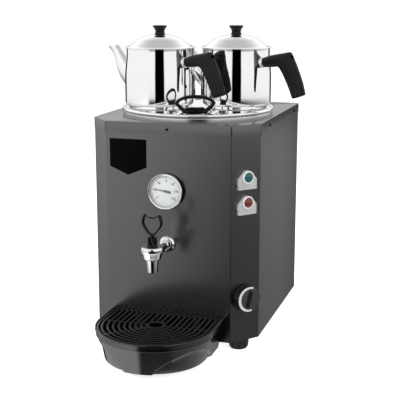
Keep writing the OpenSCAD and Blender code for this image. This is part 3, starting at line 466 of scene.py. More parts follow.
class Nodes:
    """A node tree, filled by short calls."""

    def __init__(self, owner: bpy.types.ID) -> None:
        """Starts the owner's tree afresh."""
        owner.use_nodes = True
        self.tree = owner.node_tree
        self.tree.nodes.clear()

    def add(self, kind: str, **settings: object) -> bpy.types.Node:
        """Adds a shader node and sets its properties.

        Args:
            kind: the node's type, after ShaderNode.
            settings: properties by name.

        Returns:
            The node.
        """
        node = self.tree.nodes.new("ShaderNode" + kind)
        for key, value in settings.items():
            setattr(node, key, value)
        return node

    def join(self, source: Socket, target: Socket) -> None:
        """Links two sockets."""
        self.tree.links.new(source, target)

    def ease(self, value: Socket, start: float, end: float, low: float, high: float,
             kind: str = "SMOOTHSTEP") -> Socket:
        """Value that runs from low to high as another goes from start to end.

        Args:
            value: the socket that drives it.
            start: value at which it starts.
            end: value at which it ends.
            low: result at the start.
            high: result at the end.
            kind: way of easing.

        Returns:
            Socket of the result.
        """
        node = self.add("MapRange", interpolation_type=kind)
        ends = {"From Min": start, "From Max": end, "To Min": low, "To Max": high}
        for key, number in ends.items():
            node.inputs[key].default_value = number
        self.join(value, node.inputs["Value"])
        return node.outputs[0]


class Graph(Nodes):
    """One material's nodes."""

    def __init__(self, name: str) -> None:
        """Makes the material with a principled shader and its object coordinates."""
        self.material = bpy.data.materials.new(name)
        super().__init__(self.material)
        out = self.add("OutputMaterial")
        self.shader = self.add("BsdfPrincipled")
        self.join(self.shader.outputs[0], out.inputs[0])
        self.place = self.add("TexCoord").outputs["Object"]

    def noise(self, scale: Vec, detail: float = 3.0, shift: float = 0.0) -> Socket:
        """Noise on object coordinates, stretched by a scale per axis in 1/m.

        Args:
            scale: waves to a metre along each axis.
            detail: number of finer layers.
            shift: distance that sets two patterns apart.

        Returns:
            Socket that runs from 0 to 1.
        """
        mapping, noise = self.add("Mapping"), self.add("TexNoise")
        mapping.inputs["Scale"].default_value = scale
        mapping.inputs["Location"].default_value = (shift, shift, shift)
        noise.inputs["Scale"].default_value = 1.0
        noise.inputs["Detail"].default_value = detail
        self.join(self.place, mapping.inputs["Vector"])
        self.join(mapping.outputs[0], noise.inputs["Vector"])
        return noise.outputs["Fac"]

    def blend(self, share: Socket, low: Rgb, high: Rgb, start: float = 0.3,
              end: float = 0.7) -> Socket:
        """Colour that runs from low to high as the share goes from start to end.

        Args:
            share: the socket that drives it.
            low: colour at the start.
            high: colour at the end.
            start: share at which it starts.
            end: share at which it ends.

        Returns:
            Socket of the colour.
        """
        ramp = self.add("ValToRGB")
        for stop, place, colour in zip(ramp.color_ramp.elements, (start, end), (low, high)):
            stop.position, stop.color = place, (*colour, 1.0)
        self.join(share, ramp.inputs[0])
        return ramp.outputs[0]

    def span(self, share: Socket, low: float, high: float, start: float = 0.25,
             end: float = 0.75) -> Socket:
        """Value that runs evenly from low to high as the share goes from start to end."""
        return self.ease(share, start, end, low, high, "LINEAR")

    def relief(self, share: Socket, depth: float) -> None:
        """Lets the share raise the surface by up to depth millimetres.

        Args:
            share: the socket that drives it.
            depth: rise at a share of one.
        """
        bump = self.add("Bump")
        bump.inputs["Strength"].default_value = 1.0
        bump.inputs["Distance"].default_value = depth * MM
        self.join(share, bump.inputs["Height"])
        self.join(bump.outputs[0], self.shader.inputs["Normal"])

    def set(self, **values: float) -> None:
        """Sets sockets of the shader by name, with _ for a space."""
        for key, value in values.items():
            self.shader.inputs[key.replace("_", " ")].default_value = value


@dataclass(frozen=True)
class Finish:
    """A surface finish.

    Its colour runs between two tones in soft patches, and its roughness and relief
    follow a fine grain, so that a highlight breaks up as on the real surface.
    """

    name: str
    slot: str
    colour: Rgb
    second: Rgb
    roughness: tuple[float, float]
    grain: Vec = (700.0, 700.0, 700.0)
    depth: float = 0.004
    patch: float = 22.0
    metallic: float = 0.0
    coat: float = 0.0
    gloss: float = 1.5

    def build(self) -> bpy.types.Material:
        """Makes the material."""
        graph = Graph(self.name)
        patch = graph.noise((self.patch,) * 3, 4.0, 3.1)
        grain = graph.noise(self.grain, 3.0, 1.7)
        colour = graph.blend(patch, self.colour, self.second)
        graph.join(colour, graph.shader.inputs["Base Color"])
        graph.join(graph.span(grain, *self.roughness), graph.shader.inputs["Roughness"])
        graph.relief(grain, self.depth)
        graph.set(Metallic=self.metallic, Coat_Weight=self.coat, IOR=self.gloss)
        return graph.material


@dataclass(frozen=True)
class LensFinish(Finish):
    """Moulded lamp lens: clear colour over a ribbed inside that shows as fine rings."""

    ring: float = 900.0

    def build(self) -> bpy.types.Material:
        """Makes the material, with a fine cell pattern under a clear coat."""
        graph = Graph(self.name)
        cells = graph.add("TexVoronoi", feature="F1")
        cells.inputs["Scale"].default_value = self.ring
        graph.join(graph.place, cells.inputs["Vector"])
        colour = graph.blend(cells.outputs["Distance"], self.second, self.colour, 0.05, 0.6)
        graph.join(colour, graph.shader.inputs["Base Color"])
        shine = graph.span(graph.noise((60.0,) * 3), *self.roughness)
        graph.join(shine, graph.shader.inputs["Roughness"])
        graph.relief(cells.outputs["Distance"], self.depth)
        graph.set(Coat_Weight=self.coat, Coat_Roughness=0.04, IOR=self.gloss)
        return graph.material


@dataclass(frozen=True)
class GlassFinish(Finish):
    """Thin flat glass: see-through with a faint reflection and specks of dust."""

    alpha: float = 0.12

    def build(self) -> bpy.types.Material:
        """Makes the material; the alpha rises slightly where the dust lies."""
        graph = Graph(self.name)
        dust = graph.noise((1500.0,) * 3, 2.0)
        graph.join(graph.blend(dust, self.colour, self.second), graph.shader.inputs["Base Color"])
        graph.join(graph.span(dust, *self.roughness), graph.shader.inputs["Roughness"])
        graph.join(graph.span(dust, self.alpha, self.alpha + 0.03), graph.shader.inputs["Alpha"])
        graph.set(IOR=self.gloss)
        return graph.material


ROUND_GRAIN = (8.0, 8.0, 2600.0)
COAT = Finish("anthracite_coat", "dark_coat", tone(11, 11, 12), tone(14, 14, 15), (0.19, 0.25),
              (1500.0,) * 3, 0.002, 9.0, gloss=2.3)
PLAIN = Finish("plain_steel", "plain_steel", tone(150, 152, 154), tone(172, 173, 174),
               (0.32, 0.5), (420.0, 420.0, 40.0), 0.006, 30.0, 1.0)
SCREW = Finish("blackened_screw", "plain_steel", tone(5, 5, 6), tone(9, 9, 10), (0.45, 0.6),
               (900.0,) * 3, 0.006, 200.0, gloss=1.15)
MIRROR = Finish("polished_steel", "polished_steel", tone(248, 248, 249), tone(252, 252, 252),
                (0.03, 0.07), ROUND_GRAIN, 0.0006, 14.0, 1.0)
TANK = Finish("tank_steel", "polished_steel", tone(200, 200, 200), tone(212, 212, 212),
              (0.16, 0.28), ROUND_GRAIN, 0.002, 14.0, 1.0)
CHROME = Finish("chrome_plate", "chrome", tone(236, 236, 238), tone(243, 243, 244), (0.03, 0.06),
                (500.0,) * 3, 0.0008, 60.0, 1.0)
BRASS = Finish("turned_brass", "brass", tone(190, 150, 82), tone(206, 168, 98), (0.22, 0.36),
               (60.0, 900.0, 60.0), 0.004, 40.0, 1.0)
PHENOLIC = Finish("moulded_black", "black_phenolic", tone(13, 13, 14), tone(18, 18, 19),
                  (0.26, 0.36), (800.0,) * 3, 0.006, 45.0, gloss=1.3)
GLOSS_BLACK = Finish("glossy_black", "black_phenolic", tone(7, 7, 8), tone(10, 10, 11),
                     (0.14, 0.22), (500.0,) * 3, 0.003, 45.0, gloss=1.4)
BADGE = Finish("badge_black", "black_phenolic", tone(4, 4, 5), tone(7, 7, 8), (0.36, 0.46),
               (700.0,) * 3, 0.003, 45.0, gloss=1.12)
TRAY = Finish("tray_plastic", "tray_plastic", tone(11, 11, 12), tone(15, 15, 16), (0.12, 0.18),
              (600.0,) * 3, 0.003, 16.0, 0.0, 0.4, 1.75)
GRILLE = Finish("grille_plastic", "tray_plastic", tone(7, 7, 8), tone(10, 10, 11), (0.18, 0.26),
                (600.0,) * 3, 0.003, 16.0, gloss=1.42)
KNOB = Finish("knob_plastic", "knob_plastic", tone(48, 48, 49), tone(56, 56, 57), (0.38, 0.5),
              (1100.0,) * 3, 0.008, 70.0)
CASE = Finish("case_plastic", "knob_plastic", tone(18, 18, 19), tone(23, 23, 24), (0.28, 0.4),
              (900.0,) * 3, 0.006, 70.0, gloss=1.3)
RUBBER = Finish("foot_rubber", "foot_rubber", tone(28, 28, 28), tone(38, 38, 38), (0.55, 0.75),
                (1300.0,) * 3, 0.02, 60.0)
HOLDER = Finish("holder_plastic", "holder_grey", tone(178, 180, 180), tone(192, 193, 193),
                (0.3, 0.42), (1000.0,) * 3, 0.006, 60.0)
WHITE = Finish("white_plastic", "ring_white", tone(228, 228, 226), tone(238, 238, 237),
               (0.24, 0.36), (900.0,) * 3, 0.004, 60.0)
DIAL = Finish("dial_enamel", "ring_white", tone(246, 248, 249), tone(251, 252, 252), (0.35, 0.45),
              (900.0,) * 3, 0.002, 60.0)
INK = Finish("dial_ink", "pointer_black", tone(26, 27, 30), tone(36, 37, 41), (0.45, 0.6),
             (900.0,) * 3, 0.002, 90.0)
NEEDLE = Finish("needle_black", "pointer_black", tone(22, 22, 23), tone(32, 32, 33), (0.35, 0.5),
                (900.0,) * 3, 0.003, 90.0)
GREEN = LensFinish("green_lens", "green_lens", tone(22, 88, 94), tone(12, 64, 70), (0.16, 0.26),
                   depth=0.02, coat=0.25)
AMBER = LensFinish("amber_lens", "amber_lens", tone(112, 52, 28), tone(86, 36, 18), (0.16, 0.26),
                   depth=0.02, coat=0.25)
GLASS = GlassFinish("dial_glass", "clear_glass", tone(236, 240, 242), tone(246, 248, 249),
                    (0.02, 0.05))
FELT = Finish("mineral_felt", "insulation", tone(190, 182, 148), tone(214, 206, 176), (0.8, 0.95),
              (500.0, 500.0, 120.0), 0.6, 35.0)
MARK = Finish("white_print", "ring_white", tone(214, 214, 212), tone(226, 226, 224), (0.45, 0.55),
              (1200.0,) * 3, 0.002, 80.0)


class Dresser:
    """Gives pieces their finish and body, and keeps count of them."""

    def __init__(self) -> None:
        """Starts with no materials made."""
        self.made: dict[str, bpy.types.Material] = {}
        self.count = 0

    def material(self, finish: Finish) -> bpy.types.Material:
        """The finish's material, made at its first use."""
        if finish.name not in self.made:
            self.made[finish.name] = finish.build()
        return self.made[finish.name]

    def dress(self, piece: Thing, finish: Finish, *instead_of: str, body: str = "root") -> None:
        """Finishes a piece.

        Args:
            piece: the new mesh object.
            finish: its surface.
            instead_of: the nodes that it stands for.
            body: the body that carries it.
        """
        piece.data.materials.clear()
        piece.data.materials.append(self.material(finish))
        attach(piece, body)
        if instead_of:
            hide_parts(*instead_of)
        self.count += 1
        faces = len(piece.data.polygons)
        LOG.info("%s: %s on %s, %d faces", piece.name, finish.name, body, faces)

    def keep(self, finish: Finish, *nodes: str) -> None:
        """Gives nodes that stay their finish.

        Args:
            finish: their surface.
            nodes: their names.
        """
        for name in nodes:
            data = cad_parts[name].data
            data.materials.clear()
            data.materials.append(self.material(finish))
            LOG.info("%s: kept, %s", name, finish.name)


# ---- shared places and pieces ----

FRONT = Place((0.0, -HALF_DEPTH, 0.0), tipped(90))
CONTROL = Place((HALF_WIDTH - CHAMFER_WIDTH / 2, CHAMFER_DEPTH / 2 - HALF_DEPTH, 0.0),
                turned(CONTROL_TURN) @ tipped(90))
STAND = Place((BOILER_X, BOILER_Y, STAND_Z), turned(STAND_TURN))


def plan(grow: float) -> Array:
    """Corners of the cabinet's plan, drawn out by grow, from back left round the front.

    Args:
        grow: distance outwards from the sheets.

    Returns:
        Six corners as an array of (x, y).
    """
    w, d, cw, cd = HALF_WIDTH, HALF_DEPTH, CHAMFER_WIDTH, CHAMFER_DEPTH
    length = math.hypot(cw, cd)
    fold_x = w - cw + grow * (length - cw) / cd
    fold_y = d - cd + grow * (length - cd) / cw
    x, y = w + grow, d + grow
    return np.array([[-x, y], [-x, -fold_y], [-fold_x, -y], [fold_x, -y], [x, -fold_y], [x, y]])


def offset(line: Array, gap: float) -> Array:
    """Open line moved to its left by gap and mitred, where sharp holds the longest mitres.

    Args:
        line: (x, y) of its points.
        gap: distance in millimetres.

    Returns:
        As many points as in the line.
    """
    sharp = 0.25
    step = np.diff(line, axis=0)
    step /= np.linalg.norm(step, axis=1, keepdims=True)
    side = np.stack([-step[:, 1], step[:, 0]], -1)
    both = np.concatenate([side[:1], side[1:] + side[:-1], side[-1:]])
    both[1:-1] /= np.maximum((both[1:-1] ** 2).sum(-1, keepdims=True) / 2, sharp)
    return line + gap * both


def resample(line: Array, count: int, loop: bool = False) -> Array:
    """Points spread evenly by arc length along a line or loop.

    Args:
        line: its points, of any dimension.
        count: number of points wanted.
        loop: whether the last point joins the first.

    Returns:
        Array of count points.
    """
    if loop:
        line = np.concatenate([line, line[:1]])
    run = np.concatenate([[0.0], np.cumsum(np.linalg.norm(np.diff(line, axis=0), axis=1))])
    at = np.linspace(0, run[-1], count, endpoint=not loop)
    return np.stack([np.interp(at, run, line[:, k]) for k in range(line.shape[1])], -1)


def both_halves(half: Array, count: int) -> Array:
    """A half outline from its foot to its top and its mirror image back down, spread evenly."""
    return resample(np.concatenate([half, (half * [-1, 1])[-2::-1]]), count, True)


def hoop(inner: Array, outer: Array, half: float, power: float, count: int) -> Array:
    """Rings of a closed loop handle between two half outlines.

    Each ring is a superellipse between the inner and the outer point of its station,
    (inner + outer) / 2 + (outer - inner) / 2 * u along the plane and half * v across it.

    Args:
        inner: half outline of the hole, from foot to top.
        outer: half outline of the outside.
        half: half thickness across the plane.
        power: power of the section's superellipse.
        count: number of rings.

    Returns:
        Array (count, points, 3), which closes on itself.
    """
    inner, outer = both_halves(inner, count), both_halves(outer, count)
    shape = superellipse(24, np.array([power]))[0]
    middle, reach = (inner + outer) / 2, (outer - inner) / 2
    flat = middle[:, None, :] + reach[:, None, :] * shape[None, :, :1]
    across = np.broadcast_to(half * shape[None, :, 1:], flat.shape[:2] + (1,))
    return np.concatenate([flat, across], -1)


# ---- cabinet ----


@dataclass
class Cabinet:
    """Folded sheets, cover, feet and screws."""

    floor: float = 25.0
    top: float = 525.0
    sheet: float = 1.2
    fold: float = 1.8
    seam: float = 148.0
    seam_gap: float = 0.5
    back_return: float = 18.0
    lap: float = 12.0
    lap_low: float = 45.0
    flange: float = 25.0
    hole_radius: float = 169.4
    hem: float = 0.6
    slot_turns: tuple[float, ...] = (200.5, 245.5, -65.5, -20.5)
    slot_room: float = 3.0
    foot_x: float = 156.0
    foot_y: float = 187.0
    foot_flutes: int = 10
    foot_steps: int = 160
    recess: float = 6.5
    recess_depth: float = 9.0
    screw_drop: float = 14.0
    side_screws: Pair = (-94.5, 178.0)
    back_screws: Vec = (0.06, 0.5, 0.88)
    back_screw_x: float = 191.0
    slit: Pair = (1.9, 0.4)
    shield_x: float = -94.0
    shield_half: float = 44.0

    def folded(self, form: Form, corners: Line) -> Form:
        """Adds a folded sheet along corners, its folds rounded inside and out.

        Args:
            form: what takes the sheet.
            corners: (x, y) of its outer corners.

        Returns:
            The form.
        """
        line = np.array(corners, float)
        outer = rounded(line, self.fold, 6)
        inner = rounded(offset(line, self.sheet), self.fold - self.sheet, 6)
        return self.upright(form, np.concatenate([outer, inner[::-1]]), self.floor)

    def upright(self, form: Form, strip: Array, low: float) -> Form:
        """Adds a sheet's closed section, carried from a height to just below the cover."""
        return form.tube(np.stack([lift(strip, low), lift(strip, self.top - self.sheet)]))

    def wrap(self) -> Thing:
        """Left side, left chamfer and front in one folded sheet."""
        start = (self.back_return - HALF_WIDTH, HALF_DEPTH)
        end = (self.seam - self.seam_gap, -HALF_DEPTH)
        return self.folded(Form(), [start, *plan(0.0)[:3], end]).mesh("front_and_left_sheet")

    def control(self) -> Thing:
        """Control panel and right side in one folded sheet, with its flange behind the seam."""
        start = (self.seam + self.seam_gap, -HALF_DEPTH)
        end = (HALF_WIDTH - self.back_return, HALF_DEPTH)
        form = self.folded(Form(), [start, *plan(0.0)[4:], end])
        face = -HALF_DEPTH + self.sheet + 0.1
        lap = oblong(self.seam - self.lap, face, self.seam + 0.8, face + self.sheet)
        self.upright(form, rounded(lap, 0.3, 2, True), self.lap_low)
        return form.mesh("control_and_right_sheet")

    def cover(self) -> Thing:
        """Top cover pan.

        The outline is carried from the foot of the flange up, round the fold and in to
        the tank's hole, then back along the inside: each ring is the rounded plan at its
        own inset and height, and the last rings blend into the hole's circle.
        """
        top, under, fold = self.top, self.top - self.sheet, self.fold
        edge = [(self.sheet, top - self.flange), (self.sheet, top - fold)]
        edge += [(self.sheet - fold * (1 - math.cos(b)), top - fold * (1 - math.sin(b)))
                 for b in np.radians(np.linspace(0, 90, 7))[1:]]
        rows = [self.even(grow, z) for grow, z in edge]
        rows += [self.hole(rows[-1], z) for z in (top, under)]
        rows += [self.even(-self.hem, under), self.even(0.0, under - self.hem),
                 self.even(0.0, top - self.flange)]
        piece = Form().grid(np.stack(rows), loop_rows=True, loop_cols=True).mesh("cover_pan")
        slots = []
        for corner, angle in zip(plan(self.sheet)[1:5], self.slot_turns):
            cutter = Form(Place((corner[0], corner[1], 0.0), turned(angle)))
            cutter.prism(rounded(oblong(-6, -1.1, 6, 1.1), 0.4, 3, True),
                         top - self.flange - 1, top - self.slot_room)
            slots.append(cutter.mesh("slot"))
        cut(piece, slots)
        return piece

    def even(self, grow: float, z: float, count: int = 360) -> Array:
        """The rounded plan drawn out by grow, as evenly spread points at a height."""
        return lift(resample(flow(rounded(plan(grow), self.fold + 1.0, 6, True)), count, True), z)

    def hole(self, ring: Array, z: float) -> Array:
        """The tank's hole at a height, with one point towards each point of a ring round it.

        Args:
            ring: points round the hole.
            z: height of the hole's edge.

        Returns:
            As many points, on the circle.
        """
        middle = np.array([BOILER_X, BOILER_Y])
        away = ring[:, :2] - middle
        away = self.hole_radius * away / np.linalg.norm(away, axis=1, keepdims=True)
        return lift(middle + away, z)

    def feet(self) -> Thing:
        """Fluted feet: radius = taper(z) - flute depth(z) * (0.5 + 0.5 cos(10 angle))^3."""
        rows = np.array([
            (0.0, 6.5, 0), (0.0, 18.4, 0), (0.6, 19.4, 0), (1.6, 19.8, 0), (2.4, 20.8, 1.6),
            (3.2, 21.5, 2.6), (5, 22.0, 3.2), (8, 22.5, 3.2), (11, 22.9, 3.2), (14, 23.2, 3.2),
            (17, 23.5, 3.2), (19.5, 23.7, 3.0), (21, 23.8, 2.4), (22.5, 23.9, 0.9),
            (24.0, 23.9, 0), (25.0, 23.9, 0)])
        angle = 2 * np.pi * np.arange(self.foot_steps) / self.foot_steps
        flute = (0.5 + 0.5 * np.cos(self.foot_flutes * angle)) ** 3
        rings = spun(rows[:, 1:2] - rows[:, 2:] * flute[None], rows[:, 0])
        bore = circle(self.recess, self.foot_steps)
        form = Form()
        for x in (-self.foot_x, self.foot_x):
            for y in (-self.foot_y, self.foot_y):
                form.place = Place((x, y, 0.0))
                recess = np.stack([lift(bore, 0.0), lift(bore, self.recess_depth)])
                form.grid(rings, loop_cols=True).grid(recess, loop_cols=True)
                form.face(recess[-1]).face(rings[-1])
        return form.mesh("fluted_feet")

    def screws(self) -> Thing:
        """Pan-head screws of the cover and the back, each with a cross recess."""
        z, out = self.top - self.screw_drop, self.sheet
        spots = [Place((0.0, -HALF_DEPTH - out, z), tipped(90))]
        for side in (-1, 1):
            spots += [Place((side * (HALF_WIDTH + out), y, z), leaned(side * 90.0))
                      for y in self.side_screws]
            spots += [Place((side * self.back_screw_x, HALF_DEPTH + out,
                             self.floor + f * (self.top - self.floor)), tipped(-90))
                      for f in self.back_screws]
        head = rounded([(0, 2.4), (1.9, 2.3, 1.0), (2.9, 1.4, 0.9), (3.2, 0.2, 0.3), (3.2, 0.0),
                        (1.9, 0.0), (1.9, -6.5), (1.2, -8.0), (0, -8.0)], 0.2, 4)
        form, cross = Form(), (Form(), Form())
        for spot in spots:
            form.place = cross[0].place = cross[1].place = spot
            form.lathe(head, 40)
            for slit, (a, b) in zip(cross, (self.slit, self.slit[::-1])):
                slit.prism(oblong(-a, -b, a, b), 1.3, 4.0)
        piece = form.mesh("cross_head_screws")
        cut(piece, [slit.mesh("slit") for slit in cross])
        return piece

    def shield(self) -> Thing:
        """Bare black shield plate on the front, with straight sides and a point below."""
        w = self.shield_half
        outline = rounded([(-w, 486, 1.5), (w, 486, 1.5), (w, 422, 2.0), (0, 403.5, 2.0),
                           (-w, 422, 2.0)], 1.5, 5, True)
        form = Form(FRONT.at(self.shield_x, 0.0, 0.0))
        return form.prism(flow(outline), 0.0, 1.0, 0.35, 3).mesh("shield_plate")

    def build(self, dresser: Dresser) -> None:
        """Makes and dresses every piece."""
        dresser.dress(self.wrap(), COAT, "cabinet_wrap")
        dresser.dress(self.control(), COAT, "control_panel")
        dresser.dress(self.cover(), COAT, "top_cover")
        dresser.dress(self.feet(), RUBBER, "feet")
        dresser.dress(self.screws(), SCREW, "case_screws")
        dresser.dress(self.shield(), BADGE)
        dresser.keep(COAT, "back_panel")
        dresser.keep(PLAIN, "base_plate", "foot_bolts", "tray_hooks")


# ---- boiler ----


@dataclass
class Boiler:
    """Tank, pot stand and filling lid."""

    tank_radius: float = 168.0
    collar: float = 181.0
    sheet: float = 1.2
    low: float = 210.0
    rim: float = 532.0
    cover: float = 525.0
    bead: float = 183.0
    bead_width: float = 8.0
    bead_rise: float = 1.3
    skirt: float = 167.5
    skirt_depth: float = 18.0
    port: float = 55.0
    fill_radius: float = 44.0
    lid_radius: float = 52.5
    lid_top: float = 4.2
    handle_back: float = 4.0
    foot_half: float = 21.5

    def tank(self) -> Thing:
        """Deep-drawn tank whose wall turns out over the cover and down again as a collar."""
        t, r, collar, low, rim = self.sheet, self.tank_radius, self.collar, self.low, self.rim
        line = rounded([(0, low), (r + t, low, 12), (r + t, rim - t, 1.0),
                        (collar - t, rim - t, 1.0), (collar - t, self.cover), (collar, self.cover),
                        (collar, rim, 2.4), (r, rim, 2.0), (r, low + t, 11), (0, low + t)], 0, 6)
        return Form(Place((BOILER_X, BOILER_Y, 0.0))).lathe(line, 192).mesh("boiler_shell")

    def stand(self) -> Thing:
        """Round pot stand: flat plate, rolled bead round its edge, skirt below, three holes."""
        r, w, t, skirt, deep = self.bead, self.bead_width, self.sheet, self.skirt, -self.skirt_depth
        roll = [(r - w / 2 + w / 2 * math.cos(a), self.bead_rise + w / 2 * math.sin(a))
                for a in np.radians(np.linspace(-90, 200, 30))]
        line = np.array([(0, -t), (skirt - t, -t), (skirt - t, deep), (skirt, deep), (skirt, -t),
                         (r - w, -t), *roll, (r - w - 1.6, 0.25), (r - w - 3.5, 0.0), (0, 0)])
        piece = Form(STAND).lathe(line, 224).mesh("pot_stand_plate")
        tools = []
        for x, y, radius in ((-POT_X, POT_Y, self.port), (POT_X, POT_Y, self.port),
                             (FILL_X, FILL_Y, self.fill_radius)):
            hole = Form(STAND.at(x, y, 0.0)).prism(circle(radius, 96), -12, 4)
            tools.append(hole.mesh("hole"))
        cut(piece, tools)
        return piece

    def lid(self) -> Thing:
        """Filling lid: stepped disc with a skirt that centres it in its hole."""
        r, f, top = self.lid_radius, self.fill_radius, self.lid_top
        line = rounded([(0, 3.0), (f - 2.2, 3.0), (f - 2.2, -2.6), (f - 1, -2.6), (f - 1, 0.3),
                        (r, 0.3, 0.2), (r, 2.1, 0.8), (r - 2.4, 3.3, 1.2), (f - 1.5, 3.4, 1.0),
                        (f - 4.0, top, 1.5), (0, top)], 0.2, 5)
        return Form(STAND.at(FILL_X, FILL_Y, 0.0)).lathe(line, 160).mesh("filling_lid")

    def handle(self) -> Thing:
        """Wide loop handle on the filling lid: a ring between two outlines, on a foot."""
        outer = smoothed([(26, 0), (31, 1.5), (38.5, 8.8), (45.3, 17), (46.9, 20.7), (44.5, 26),
                          (35.5, 32.5), (24, 37), (12, 39.3), (0, 40)], 8)
        inner = smoothed([(21, 8.5), (25, 9), (31, 13.8), (36.6, 19.2), (37.2, 21.8), (33, 25.4),
                          (24, 29), (12, 31.2), (0, 31.6)], 8)
        form = Form(STAND.at(FILL_X, FILL_Y - self.handle_back, self.lid_top, tipped(90)))
        form.grid(hoop(inner, outer, 6.0, 3.0, 150), loop_rows=True, loop_cols=True)
        w = self.foot_half
        foot = rounded([(-w, 0.0), (w, 0.0), (w, 11.0, 3.0), (-w, 11.0, 3.0)], 0.5, 4, True)
        return form.prism(flow(foot), -8.0, 8.0, 1.2, 4).mesh("filling_handle")

    def build(self, dresser: Dresser) -> None:
        """Makes and dresses every piece."""
        dresser.dress(self.tank(), TANK, "boiler_tank")
        dresser.dress(self.stand(), MIRROR, "pot_stand", body="stand")
        dresser.dress(self.lid(), MIRROR, "fill_lid", body="fill_cover")
        dresser.dress(self.handle(), GLOSS_BLACK, "fill_handle", body="fill_cover")
        dresser.keep(FELT, "tank_jacket")
        dresser.keep(PLAIN, "heating_element", "dry_boil_cutout")
        dresser.keep(RUBBER, "element_gasket")
        dresser.keep(BRASS, "element_nut", "bulb_well")


# ---- teapots ----


